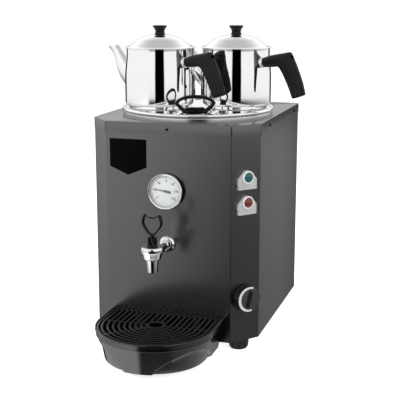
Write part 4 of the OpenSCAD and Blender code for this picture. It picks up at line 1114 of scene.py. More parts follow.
@dataclass
class Pot:
    """One teapot with its spout, handle, lid and knob."""

    side: Side
    radius: float = 85.5
    height: float = 142.0
    capsule: float = 76.0
    sheet: float = 1.0
    lid_radius: float = 84.0
    dome: float = 32.0
    knob_radius: float = 17.2
    knob_height: float = 22.6
    handle_turn: float = 42.0
    spout_wall: float = 1.1
    spout_sink: float = 0.45
    seat: float = 0.3
    neck_drop: float = 30.5
    neck_rise: float = 11.5
    grip_crease: float = 40.0
    spout_crease: float = 50.0

    def name(self, part: str) -> str:
        """The piece's name, with the pot's side."""
        return f"{self.side.name.lower()}_pot_{part}"

    def node(self, part: str) -> str:
        """The node's name of a part."""
        return f"pot_{self.side.name.lower()}_{part}"

    def place(self, turn: float = 0.0) -> Place:
        """Middle of the pot's base on the stand."""
        return STAND.at(self.side.value * POT_X, POT_Y, self.seat, turned(turn))

    def wall(self) -> Array:
        """Outside of the wall from the edge of the capsule base to the rim, as (radius, z)."""
        r, h = self.radius, self.height
        base = rounded([(self.capsule - 2, 0), (self.capsule, 0, 1.4), (self.capsule, 6.8, 0.6),
                        (r - 2.6, 7.2, 2.2), (r, 12.0, 3.0), (r, 30.0)], 1.0, 6)
        shoulder = smoothed([(r, 30.0), (r - 0.05, h - 70), (r - 0.6, h - 56), (r - 1.4, h - 45),
                             (r - 2.6, h - 35), (r - 3.6, h - 26), (r - 4.2, h - 18),
                             (r - 4.3, h - 10), (r - 4.2, h - 2.6)], 6)
        return np.concatenate([base[:-1], shoulder])

    def body(self) -> Thing:
        """Pressed body: wall, rolled rim, inside wall and capsule base, turned round Z."""
        wall, r, h, t = self.wall(), self.radius, self.height, self.sheet
        rim = [(r - 3.9, h - 1.2), (r - 4.1, h - 0.3), (r - 4.8, h), (r - 5.2, h - 1.0)]
        inside = wall[wall[:, 1] > 12.5][::-1] - [t, 0.0]
        floor = rounded([(r - t, 12.0), (r - t, 8.5, 3.0), (0, 8.5)], 0, 6)
        line = np.concatenate([[(0.0, 0.0)], wall, rim, inside[1:], floor[1:]])
        return Form(self.place()).lathe(line, 192).mesh(self.name("shell"))

    def spout(self) -> Thing:
        """Spout: a skin over the rings of its outside and back over those of its bore."""
        outer, inner = self.spout_rings(0.0), self.spout_rings(self.spout_wall)
        skin = np.concatenate([outer, inner[::-1]])
        form = Form(self.place(180 - self.handle_turn)).grid(skin, loop_rows=True, loop_cols=True)
        return form.mesh(self.name("spout_tube"), self.spout_crease)

    def spout_rings(self, gap: float) -> Array:
        """Rings of the spout, set in by gap, from its root to its mouth.

        A station is (low x, low z, high x, high z, half width). The first one gives the
        root ring, which lies on the wall: its outward distance is sqrt(R(z)^2 - y^2). The
        foot ring eases from it to the second station's.

        Args:
            gap: distance in from the outside.

        Returns:
            Array (rings, points, 3).
        """
        table = [(4, 33, 4, 95, 23.4), (20, 40, 13, 102, 22), (42, 57, 25, 110, 19),
                 (54, 75, 34, 117.5, 17), (61, 92, 41, 124, 15), (67, 108, 47.5, 130, 13.5),
                 (74, 122, 53, 136, 12.5), (83, 131, 57, 140, 12.3), (93, 138.5, 60, 143.5, 12.8)]
        rows = np.concatenate([[(-1, 27, -1, 100, 24.8)], smoothed(table, 7)])
        low, high = rows[:, 0:2] + [self.radius, 0.0], rows[:, 2:4] + [self.radius, 0.0]
        along = (high - low) / np.linalg.norm(high - low, axis=1, keepdims=True)
        rings = loft(low + gap * along, high - gap * along, rows[:, 4] - gap,
                     superellipse(48, np.full(len(rows), 2.0)))
        root, wall = rings[0], self.wall()
        reach = np.interp(root[:, 2], wall[:, 1], wall[:, 0])
        root[:, 0] = np.sqrt(reach**2 - root[:, 1] ** 2) - self.spout_sink
        foot = root + (rings[1] - root) * [[0.28, 0.62, 0.62]]
        return np.concatenate([rings[:1], foot[None], rings[1:]])

    def neck(self) -> Place:
        """Axis of the handle's ferrule, outwards and a little up."""
        axis, height = leaned(90 - self.neck_rise), self.height - self.neck_drop
        return self.place(-self.handle_turn).at(self.radius + 2.5, 0.0, height, axis)

    def handle(self) -> Thing:
        """Moulded handle lofted over squarish sections, with two grooves down each cheek.

        A station is (inner x, z, outer x, z, half width, power). Half thickness at u is
        the superellipse's times 1 - depth * exp(-((u - g) / w)^2) for grooves at g = -0.3
        and 0.3, which fade in behind the elbow and out before the tip.
        """
        table = [(4.8, 100.2, 0.2, 122.8, 11.5, 2.0), (11.5, 100.3, 8.0, 124.8, 11.3, 2.1),
                 (18.5, 100.5, 16, 127.5, 11, 2.2), (32.5, 102, 38, 132, 10.5, 2.5),
                 (41.5, 103, 62, 136, 10, 2.8), (47, 101, 77, 138, 9.8, 3),
                 (51.5, 96, 83, 130.5, 9.6, 3), (59.5, 85, 92.5, 114.5, 9.3, 3),
                 (69.5, 68, 103.5, 92.5, 9, 3), (78.5, 51, 113.5, 69, 9, 3),
                 (86.5, 33, 121, 45, 8.6, 3)]
        groove_depth, groove_width, grooves = 0.13, 0.055, (-0.3, 0.3)
        rows = smoothed(table, 7)
        share = np.linspace(0, 1, len(rows))
        shape = superellipse(112, rows[:, 5])
        fade = np.clip((share - 0.42) / 0.14, 0, 1) * np.clip((0.985 - share) / 0.05, 0, 1)
        dent = sum(np.exp(-(((shape[..., 0] - g) / groove_width) ** 2)) for g in grooves)
        shape[..., 1] *= 1 - groove_depth * fade[:, None] * dent
        inner, outer = rows[:, 0:2] + [self.radius, 0], rows[:, 2:4] + [self.radius, 0]
        rings = loft(inner, outer, rows[:, 4], shape)
        heart = rings[-1].mean(0)
        away = np.array([5.2, 0.0, -9.0]) / 10.4
        tip = [heart + (rings[-1] - heart) * k + away * s
               for k, s in ((0.985, 0.8), (0.94, 1.5), (0.86, 2.0), (0.7, 2.3))]
        form = Form(self.place(-self.handle_turn)).tube(np.concatenate([rings, np.stack(tip)]))
        piece = form.mesh(self.name("grip"), self.grip_crease)
        hole = Form(self.neck()).lathe(oblong(0, 44.0, 5.0, 130.0), 48)
        bore = Form(self.neck()).lathe(oblong(0, -5.0, 2.6, 46.0), 32)
        cut(piece, [hole.mesh("hole"), bore.mesh("bore")], self.grip_crease)
        return piece

    def ferrule(self) -> Thing:
        """Bright ferrule and its screw, turned round the neck."""
        line = rounded([(0, -8.5), (12.6, -8.5), (12.6, -6.8, 0.8), (11.9, -4.6, 1.0),
                        (11.6, -3.4, 0.5), (10.6, -2.9, 0.4), (10.6, -2.2, 0.4), (11.5, -1.7, 0.5),
                        (11.3, -0.1, 0.5), (9.0, 0.0), (2.5, 0.0), (2.5, 42.0), (4.6, 42.0, 0.2),
                        (4.6, 45.0, 0.8), (3.4, 46.0, 0.8), (1.2, 46.0), (1.2, 44.4), (0, 44.4)],
                       0.1, 4)
        return Form(self.neck()).lathe(line, 72).mesh(self.name("ferrule"))

    def lid(self) -> Thing:
        """Domed lid with a flat brim, a bead at the foot of the dome and a skirt inside."""
        r, h, d = self.lid_radius, self.height + self.seat, self.dome
        skirt = self.radius - 11.3
        crown = smoothed([(72, 5), (67, 10), (63, 13), (55, 19.3), (50, 22.2), (43, 25.5), (36, 28),
                          (27, 30), (18, 31), (14.5, 31.2)], 5)
        dome = np.concatenate([crown, [(13.4, 0.98 * d), (13.0, 0.95 * d), (0.0, 0.95 * d)]])
        dome[:, 1] += h
        brim = rounded([(skirt, h - 9), (skirt + 1, h - 9), (skirt + 1, h, 0.4), (r, h, 0.5),
                        (r, h + 1.6, 0.8), (r - 3.0, h + 2.8, 1.5), (r - 8.5, h + 3.0, 2.0),
                        dome[0]], 0.2, 4)
        below = dome[dome[:, 0] < skirt - 0.1][::-1] - [0.0, self.sheet]
        line = np.concatenate([brim, dome[1:], below, [(skirt, h + 2.0)]])
        return Form(self.place()).lathe(line, 192, loop=True).mesh(self.name("lid_dome"))

    def knob(self) -> Thing:
        """Flared lid knob, turned round Z."""
        r, h = self.knob_radius, self.knob_height
        flare = smoothed([(r - 4.3, 0.08), (r - 5.8, 0.25), (r - 6.2, 0.38), (r - 5.3, 0.54),
                          (r - 2.5, 0.75), (r - 0.3, 0.87)], 6) * [1, h]
        head = rounded([(r - 0.3, 0.87 * h), (r, 0.91 * h, 0.8), (r - 1.0, h, 1.2),
                        (r - 4, h + 0.1, 1.0), (0, h + 0.6)], 0.5, 5)
        line = np.concatenate([[(0, 0), (r - 4.3, 0)], flare, head[1:]])
        base = self.place().at(0, 0, self.height + self.seat + self.dome * 0.95)
        return Form(base).lathe(line, 96).mesh(self.name("lid_knob"))

    def build(self, dresser: Dresser) -> None:
        """Makes and dresses every piece."""
        side = self.side.name.lower()
        pot, lid = f"pot_{side}", f"lid_{side}"
        dresser.dress(self.body(), MIRROR, self.node("body"), body=pot)
        dresser.dress(self.spout(), MIRROR, self.node("spout"), body=pot)
        dresser.dress(self.ferrule(), CHROME, self.node("ferrule"), body=pot)
        dresser.dress(self.handle(), PHENOLIC, self.node("handle"), body=pot)
        dresser.dress(self.lid(), MIRROR, self.node("lid"), body=lid)
        dresser.dress(self.knob(), PHENOLIC, self.node("knob"), body=lid)


# ---- tap ----


@dataclass
class Tap:
    """Tap with its rosette, bonnet and loop handle."""

    x: float = -1.0
    y: float = -335.0
    shank_z: float = 249.0
    bell_z: float = 243.8
    outlet: float = 34.0
    cup: float = 25.3
    lever_rise: float = 49.2
    pin_rise: float = 39.5
    loop_width: float = 47.2
    loop_height: float = 47.6
    bar: float = 5.0
    ribs: int = 12
    rib_steps: int = 168
    thread_pitch: float = 1.8
    thread_start: float = 102.0

    def axis(self, z: float = 0.0) -> Place:
        """The upright tap axis at a height."""
        return Place((self.x, self.y, z))

    def shank_axis(self, d: float) -> Place:
        """The level axis towards the cabinet, at a distance behind the tap axis."""
        return Place((self.x, self.y + d, self.shank_z), tipped(-90))

    def body(self) -> Thing:
        """Outlet, bell and cup turned round the upright axis, and the boss behind them."""
        b, c, low = self.bell_z, self.cup, self.bell_z - self.outlet
        line = np.concatenate([
            rounded([(8.6, low + 30), (8.6, low), (10.6, low), (11.3, low + 1.0, 0.6),
                     (11.2, low + 3.0, 1.0)], 0.5, 4),
            smoothed([(11.3, b - 30), (12.1, b - 22), (13.0, b - 14), (13.7, b - 9),
                      (14.3, b - 5.6), (15.4, b - 4.9), (17.4, b - 4.1), (18.7, b - 2.4),
                      (19.7, b + 0.8), (20.7, b + 4.6), (21.7, b + 8.4), (22.3, b + 10.6)], 5),
            rounded([(22.5, b + 11.2), (c - 0.9, b + 11.7, 0.8), (c, b + 14.4, 1.2),
                     (c - 0.2, b + 19.6, 2.0), (c - 1.5, b + 24.2, 1.2), (c - 3.2, b + 25.0, 0.8),
                     (12.6, b + 25.0), (12.6, b - 4.0), (8.6, b - 4.0)], 0.3, 5)])
        form = Form(self.axis()).lathe(line, 120, loop=True)
        boss = rounded([(6.0, 10.0), (10.8, 10.0), (10.8, 31.5, 0.8), (9.9, 32.2, 0.4),
                        (9.9, 33.0, 0.4), (10.9, 33.6, 0.4), (10.8, 36.6, 0.8), (8.6, 37.0),
                        (8.6, 24.0), (6.0, 24.0)], 0.2, 3)
        form.place = self.shank_axis(0.0)
        form.lathe(boss, 72, loop=True)
        return form.mesh("tap_bell_and_boss")

    def front_screw(self) -> Thing:
        """Small slotted screw in the front of the cup."""
        place = Place((self.x, self.y - 24.6, self.bell_z + 20.6), tipped(90))
        line = rounded([(0, -3), (1.7, -3), (1.7, 0.0), (2.3, 0.0), (2.3, 0.9, 0.4), (0, 1.0)],
                       0.1, 4)
        piece = Form(place).lathe(line, 32).mesh("cup_screw")
        slot = Form(place).prism(oblong(-3, -0.3, 3, 0.3), 0.55, 2.0)
        cut(piece, [slot.mesh("slot")])
        return piece

    def shank(self) -> Thing:
        """Tap shank through the panel and the tank wall; its hidden end carries a thread.

        Thread: radius = r - 0.3 * (1 + cos(2 pi z / pitch)) on the part behind the panel.
        """
        start, end, bore = 24.0, 168.0, 6.0
        z = np.linspace(start, end, 900)
        thread = np.clip((z - self.thread_start) / 2.0, 0, 1)
        radius = 8.5 - 0.3 * thread * (1 + np.cos(2 * np.pi * z / self.thread_pitch))
        line = np.concatenate([[(bore, start)], np.stack([radius, z], -1), [(bore, end)]])
        return Form(self.shank_axis(0.0)).lathe(line, 48, loop=True).mesh("tap_shank_tube")

    def rosette(self) -> Thing:
        """Domed rosette against the panel with a turned step round the shank."""
        line = rounded([(8.7, 0.0), (19.4, 0.0), (19.4, 1.6, 1.0), (18.3, 5.6, 4.0),
                        (14.6, 9.0, 4.0), (11.8, 9.5, 0.6), (11.2, 10.3, 0.5), (8.7, 10.3)], 0.2, 7)
        place = Place((self.x, -HALF_DEPTH, self.shank_z), tipped(90))
        return Form(place).lathe(line, 96, loop=True).mesh("tap_rosette_dome")

    def bonnet(self) -> Thing:
        """Ribbed hub with a collar at its foot.

        Radius = core(z) + rib(z) * (0.5 + 0.5 cos(12 (angle - half a rib)))^0.8.
        """
        low = self.bell_z + 25.0
        rows = np.array([
            (-7, 12.3, 0), (-0.4, 12.3, 0), (0, 12.3, 0), (0.0, 11.2, 0), (0.3, 11.6, 0),
            (2.2, 11.6, 0), (2.7, 11.2, 0), (3.4, 9.2, 0.9), (4.2, 8.9, 1.6), (9, 8.9, 1.6),
            (14, 8.9, 1.6), (17.6, 8.9, 1.6), (18.8, 8.9, 1.3), (19.6, 8.4, 0.5), (20.0, 7.4, 0.0)])
        angle = 2 * np.pi * np.arange(self.rib_steps) / self.rib_steps
        wave = (0.5 + 0.5 * np.cos(self.ribs * (angle - math.pi / self.ribs))) ** 0.8
        rings = spun(rows[:, 1:2] + rows[:, 2:] * wave[None], rows[:, 0])
        piece = Form(self.axis(low)).tube(rings).mesh("tap_hub")
        slot = Form(self.axis(low)).prism(oblong(-4.35, -20, 4.35, 20), 4.0, 40.0)
        bore = Form(self.axis(low)).prism(circle(3.1, 32), -9.0, 10.0)
        pin = Form(self.pin_place()).prism(circle(1.55, 32), -20, 20)
        cut(piece, [slot.mesh("slot"), bore.mesh("bore"), pin.mesh("pin")])
        return piece

    def handle(self) -> Thing:
        """Heart-shaped loop with a round-edged bar, on a tongue that pivots in the hub.

        Its half outline is given as shares of the loop's half width and height.
        """
        w, h, bar = self.loop_width / 2, self.loop_height, self.bar
        low, foot = self.bell_z + self.lever_rise, self.bell_z + self.pin_rise - 6
        shape = smoothed([(0, -0.012), (0.16, 0), (0.38, 0.07), (0.62, 0.21), (0.83, 0.37),
                          (0.95, 0.49), (1, 0.6), (0.985, 0.71), (0.93, 0.82), (0.86, 0.91),
                          (0.78, 0.97), (0.71, 1), (0.62, 0.975), (0.5, 0.93), (0.34, 0.893),
                          (0.16, 0.876), (0, 0.87)], 6)
        outer = shape * [w, h] + [0, low]
        inner = shape * [w - bar, h - 2 * bar] + [0, low + bar]
        form = Form(Place((self.x, self.y, 0.0), tipped(90)))
        form.grid(hoop(inner, outer, 4.5, 3.4, 160), loop_rows=True, loop_cols=True)
        tongue = rounded([(-4.0, foot, 2.0), (4.0, foot, 2.0), (4.0, low - 1, 3.0),
                          (7.0, low + 3.6), (-7.0, low + 3.6), (-4.0, low - 1, 3.0)], 1.0, 6, True)
        return form.prism(flow(tongue), -4.5, 4.5, 0.8, 3).mesh("tap_loop_handle")

    def pin_place(self) -> Place:
        """Axis on which the handle pivots."""
        return Place((self.x, self.y, self.bell_z + self.pin_rise), leaned(90))

    def pin(self) -> Thing:
        """Pivot pin with eased ends."""
        line = rounded([(0, -9.9), (1.5, -9.9, 0.4), (1.5, 9.9, 0.4), (0, 9.9)], 0, 4)
        return Form(self.pin_place()).lathe(line, 32).mesh("pivot_pin")

    def build(self, dresser: Dresser) -> None:
        """Makes and dresses every piece."""
        dresser.dress(self.body(), CHROME, "tap_body")
        dresser.dress(self.front_screw(), CHROME)
        dresser.dress(self.shank(), CHROME, "tap_shank")
        dresser.dress(self.rosette(), CHROME, "tap_rosette")
        dresser.dress(self.bonnet(), GLOSS_BLACK, "tap_bonnet")
        dresser.dress(self.handle(), GLOSS_BLACK, "tap_handle", body="tap_lever")
        dresser.dress(self.pin(), PLAIN, "tap_pin", body="tap_lever")
        dresser.keep(RUBBER, "tap_seal", "tap_plunger")
        dresser.keep(BRASS, "tap_nut")
        dresser.keep(PLAIN, "tap_spring")


# ---- thermometer ----


@dataclass
class Thermometer:
    """Dial thermometer on the front."""

    x: float = -2.0
    z: float = 372.0
    radius: float = 39.5
    seat: float = 7.0
    dial: float = 7.8
    print_rise: float = 0.06
    ticks: int = 60
    figure_inset: float = 16.0
    figure_size: float = 7.2
    reading_turn: float = 171.0
    first_angle: float = 217.0
    sweep: float = 258.0
    numbers: tuple[int, ...] = (0, 20, 40, 60, 80, 100, 120)

    def place(self, z: float = 0.0) -> Place:
        """Middle of the thermometer at a distance in front of the panel."""
        return FRONT.at(self.x, self.z, z)

    def case(self) -> Thing:
        """Deep-drawn case, turned round the axis."""
        r = self.radius
        line = rounded([(6.6, 0.0), (r - 0.6, 0.0), (r, 0.8, 0.6), (r, 11.0), (r - 1.5, 11.0),
                        (r - 1.5, self.seat), (r - 3.5, self.seat), (r - 3.5, 1.5), (6.6, 1.5)],
                       0.2, 4)
        return Form(self.place()).lathe(line, 144, loop=True).mesh("gauge_case")

    def bezel(self) -> Thing:
        """Rolled bezel ring over the rim of the glass."""
        r = self.radius
        line = rounded([(r + 0.1, 5.0), (r + 1.2, 5.0), (r + 1.2, 13.2, 1.0), (r - 0.1, 14.1, 0.6),
                        (r - 2.2, 13.7, 0.5), (r - 2.6, 12.5), (r + 0.1, 12.5)], 0.2, 6)
        return Form(self.place()).lathe(line, 160, loop=True).mesh("gauge_bezel")

    def plate(self) -> Thing:
        """Dial plate with a hole for the pointer's shaft."""
        line = rounded(oblong(1.5, self.seat, self.radius - 1.6, self.dial), 0.1, 2)
        return Form(self.place()).lathe(line, 144, loop=True).mesh("gauge_dial")

    def marks(self) -> Thing:
        """Scale arc and ticks as thin raised print on the dial.

        A tick is a box from its outer radius inwards, of its own length and half width.
        """
        arc, low, high = 33.6, self.dial, self.dial + self.print_rise
        numbered, middling, fine = (31.8, 4.8, 0.75), (arc, 2.8, 0.3), (arc, 1.6, 0.16)
        form = Form(self.place())
        for k in range(self.ticks + 1):
            reach, long, wide = numbered if k % 10 == 0 else middling if k % 5 == 0 else fine
            angle = self.angle(k / self.ticks)
            out = np.array([math.cos(angle), math.sin(angle)])
            across = np.array([-out[1], out[0]])
            box = oblong(reach - long, -wide, reach, wide) @ np.stack([out, across])
            form.prism(box, low, high)
        form.lathe(oblong(arc, low, arc + 0.25, high), 120, loop=True,
                   start=self.first_angle - self.sweep, sweep=self.sweep - 0.01)
        return form.mesh("dial_scale")

    def angle(self, share: float) -> float:
        """Angle of a share of the scale."""
        return math.radians(self.first_angle - self.sweep * share)

    def figures(self) -> Thing:
        """Numbers of the scale, as thin print set round the dial."""
        joined = bmesh.new()
        reach = self.radius - self.figure_inset
        for k, number in enumerate(self.numbers):
            curve = bpy.data.curves.new("figure", "FONT")
            curve.body, curve.size = str(number), self.figure_size
            curve.extrude, curve.offset = self.print_rise / 2, 0.2
            curve.align_x, curve.align_y = "CENTER", "CENTER"
            item = placed("figure", curve)
            view = bpy.context.evaluated_depsgraph_get()
            mesh = bpy.data.meshes.new_from_object(item.evaluated_get(view))
            flat = np.empty(len(mesh.vertices) * 3)
            mesh.vertices.foreach_get("co", flat)
            angle = self.angle(k / (len(self.numbers) - 1))
            spot = (reach * math.cos(angle), reach * math.sin(angle), self.dial + 0.04)
            flat = flat.reshape(-1, 3) + spot
            mesh.vertices.foreach_set("co", metres(self.place().put(flat)).ravel())
            bpy.data.objects.remove(item)
            joined.from_mesh(mesh)
        target = bpy.data.meshes.new("dial_numbers")
        joined.to_mesh(target)
        joined.free()
        return placed("dial_numbers", target)

    def pointer(self) -> Thing:
        """Needle: slim blade with a disc on its tail, a hub and its shaft."""
        hub = rounded([(0, 1.0), (1.0, 1.0), (1.0, 9.0), (3.5, 8.3), (3.5, 9.3, 0.5),
                       (2.2, 9.8, 0.4), (0, 9.9)], 0.1, 4)
        form = Form(self.place()).lathe(hub, 48)
        disc = circle(2.9, 22, -160, 320) * [-1, 1] + [-10.2, 0]
        blade = rounded([(-7.4, 1.0), (0, 1.2, 3), (28.4, 0.4, 0.2), (28.4, -0.4, 0.2),
                         (0, -1.2, 3), (-7.4, -1.0)], 0.5, 4)
        needle = np.concatenate([disc[::-1], blade])
        form.place = self.place().at(0, 0, 0, turned(self.reading_turn))
        form.prism(flow(needle), 8.3, 9.0, 0.2, 2)
        return form.mesh("gauge_needle")

    def glass(self) -> Thing:
        """Flat glass with eased edges."""
        r = self.radius - 0.2
        line = rounded([(0, 11.0), (r, 11.0, 0.3), (r, 12.5, 0.3), (0, 12.5)], 0, 3)
        return Form(self.place()).lathe(line, 144).mesh("gauge_glass")

    def build(self, dresser: Dresser) -> None:
        """Makes and dresses every piece."""
        dresser.dress(self.case(), CASE, "thermometer_case")
        dresser.dress(self.bezel(), CHROME, "thermometer_bezel")
        dresser.dress(self.plate(), DIAL, "thermometer_dial")
        dresser.dress(self.marks(), INK)
        dresser.dress(self.figures(), INK)
        dresser.dress(self.pointer(), NEEDLE, "thermometer_pointer", body="pointer")
        dresser.dress(self.glass(), GLASS, "thermometer_glass")
        dresser.keep(BRASS, "thermometer_stem", "thermometer_nut")


# ---- control panel ----


@dataclass
class Controls:
    """Pilot lamps and thermostat knob on the chamfered panel."""

    green_z: float = 409.0
    amber_z: float = 352.0
    knob_z: float = 128.5
    index_z: float = 174.3
    lens_radius: float = 11.0
    lens_sink: float = 18.0
    ring_radius: float = 14.5
    barrel_seat: float = 10.5
    holder_width: float = 48.0
    holder_depth: float = 9.0
    knob_radius: float = 32.5
    knob_depth: float = 19.0
    knob_turn: float = 15.0
    scale_sectors: int = 12
    scale_start: float = 66.0
    scale_sweep: float = 219.0

    def at(self, z: float) -> Place:
        """Place on the panel at a height."""
        return CONTROL.at(0.0, z, 0.0)

    def holder(self, name: str, z: float) -> Thing:
        """Lamp holder: square foot that narrows to the lamp's ring, with eased edges.

        Its sides are tangents from the foot's shoulders to the ring's circle.

        Args:
            name: name of the piece.
            z: height of its lamp.

        Returns:
            The holder.
        """
        w, step, low = self.holder_width / 2, -5.0, -28.0
        reach = math.hypot(w, step)
        angle = math.degrees(math.atan2(step, w) + math.acos(self.ring_radius / reach))
        top = circle(self.ring_radius + 0.2, 24, angle, 180 - 2 * angle)
        foot = rounded([(-w, step - 0.01), (-w, low, 1.5), (w, low, 1.5), (w, step - 0.01)], 1.5, 5)
        outline = flow(np.concatenate([foot, top]))
        piece = Form(self.at(z)).prism(outline, 0.0, self.holder_depth, 1.0, 4).mesh(name)
        bore = Form(self.at(z)).prism(circle(self.lens_radius + 0.1, 64), -2, 20)
        cuts = [bore.mesh("bore")]
        for side in (-1, 1):
            notch = rounded(oblong(w - 5.0, -24, w + 3, -17), 1.0, 4, True) * [side, 1]
            cuts.append(Form(self.at(z)).prism(flow(notch), 2.5, 6.5).mesh("notch"))
        cut(piece, cuts)
        return piece

    def barrel(self, name: str, z: float) -> Thing:
        """Lamp barrel behind the panel with its bright ring in front, and two terminals.

        Args:
            name: name of the piece.
            z: height of its lamp.

        Returns:
            The barrel and its ring.
        """
        r, g, seat, back = self.lens_radius, self.ring_radius, self.barrel_seat, self.holder_depth
        line = rounded([(0, -30, 0), (r, -30, 0.8), (r, back), (g, back), (g, 11.6, 0.9),
                        (g - 1.0, 12.5, 0.6), (r + 0.9, 12.5, 0.6), (r + 0.15, 11.6, 0.4),
                        (r + 0.15, seat), (0, seat)], 0.1, 5)
        form = Form(self.at(z)).lathe(line, 96)
        for x in (-5.0, 5.0):
            form.prism(rounded(oblong(x - 0.4, -3, x + 0.4, 3), 0.1, 2, True), -38, -29)
        return form.mesh(name)

    def lens(self, name: str, z: float) -> Thing:
        """Low domed lens: z = 2 + sqrt(R^2 - r^2) - sink, over the ring's seat.

        Args:
            name: name of the piece.
            z: height of its lamp.

        Returns:
            The lens.
        """
        r, seat, sink = self.lens_radius - 0.1, self.barrel_seat, self.lens_sink
        radii = np.linspace(r - 0.5, 0, 16)
        dome = np.stack([radii, seat + 2.0 - sink + np.sqrt(r**2 + sink**2 - radii**2)], -1)
        line = np.concatenate([[(0, seat), (r, seat), (r, 12.2), (r - 0.2, 12.5)], dome])
        return Form(self.at(z)).lathe(line, 96).mesh(name)

    def knob(self) -> Thing:
        """Knob: skirt, cone and dished face turned round the axis, and a grip bar across it.

        At a share n of the bar's half length its section is a superellipse (u, v), with
        half width 5.6 (1 - 0.08 n^2) and top 3 - 0.5 n^2, less a groove along the top of
        0.9 exp(-(u / 0.16)^2) v.
        """
        r, h, sunk = self.knob_radius, self.knob_depth, 4.0
        line = rounded([(3.1, 1.2), (r, 1.2, 0.4), (r, 4.6, 0.8), (r - 1.2, 6.0, 1.0),
                        (r - 2.2, h - 1.0, 0.8), (r - 3.0, h - 0.2, 0.3), (r - 3.2, h - 0.4),
                        (0, h - 0.4), (0, h - 6), (3.1, h - 6)], 0.1, 5)
        form = Form(self.at(self.knob_z)).lathe(line, 144, loop=True)
        n = np.linspace(-1, 1, 40)[:, None]
        top, half, length = 3.0 - 0.5 * n**2, 5.6 * (1 - 0.08 * n**2), r - 13.2
        shape = superellipse(36, np.full(len(n), 3.6))
        u, v = shape[..., 0], shape[..., 1]
        groove = 0.9 * np.exp(-((u / 0.16) ** 2)) * np.clip(v, 0, 1)
        rings = np.stack([half * u, np.broadcast_to(length * n, u.shape),
                          h - sunk + (top + sunk) / 2 * (1 + v) - groove], -1)
        form.place = self.at(self.knob_z).at(0, 0, 0, turned(-self.knob_turn))
        form.tube(rings)
        return form.mesh("thermostat_dial_knob")

    def knob_face(self) -> Thing:
        """Grey face plate let into the knob."""
        r, h = self.knob_radius - 3.3, self.knob_depth
        line = rounded([(0, h - 0.5), (r, h - 0.5), (r, h, 0.2), (0, h)], 0, 3)
        return Form(self.at(self.knob_z)).lathe(line, 144).mesh("knob_face_plate")

    def knob_scale(self) -> Thing:
        """White sectors printed round the left of the knob's face, narrower towards both ends.

        At a share t of the arc the print is 3.8 + 3 sin(pi t) wide.
        """
        form = Form(self.at(self.knob_z))
        z0, z1 = self.knob_depth + 0.005, self.knob_depth + 0.05
        for k in range(self.scale_sectors):
            t = (k + np.linspace(0.03, 0.97, 8)) / self.scale_sectors
            a = np.radians(self.scale_start + self.scale_sweep * t)
            outer = np.full_like(a, self.knob_radius - 3.5)
            inner = outer - 3.8 - 3.0 * np.sin(math.pi * t)
            edges = ((inner, z0), (outer, z0), (outer, z1), (inner, z1))
            form.tube(np.stack([np.stack([q * np.cos(a), q * np.sin(a), np.full_like(a, z)], -1)
                                for q, z in edges], 1))
        return form.mesh("knob_scale_arc")

    def index(self) -> Thing:
        """Small index dot above the knob."""
        return Form(self.at(self.index_z)).lathe(oblong(0, 0.0, 2.0, 0.06), 32).mesh("index_dot")

    def build(self, dresser: Dresser) -> None:
        """Makes and dresses every piece."""
        high, low = self.green_z, self.amber_z
        dresser.dress(self.holder("upper_lamp_holder", high), HOLDER, "lamp_holders")
        dresser.dress(self.holder("lower_lamp_holder", low), HOLDER)
        dresser.dress(self.barrel("upper_lamp_barrel", high), WHITE, "lamp_barrels")
        dresser.dress(self.barrel("lower_lamp_barrel", low), WHITE)
        dresser.dress(self.lens("green_lamp_lens", high), GREEN, "lens_green")
        dresser.dress(self.lens("amber_lamp_lens", low), AMBER, "lens_amber")
        dresser.dress(self.knob(), CASE, "thermostat_knob", body="knob")
        dresser.dress(self.knob_face(), KNOB, body="knob")
        dresser.dress(self.knob_scale(), MARK, body="knob")
        dresser.dress(self.index(), NEEDLE)
        dresser.keep(PLAIN, "lamp_nuts", "thermostat", "thermostat_spindle")
        dresser.keep(HOLDER, "terminal_block")
        dresser.keep(CASE, "cable_gland")


# ---- drip tray ----


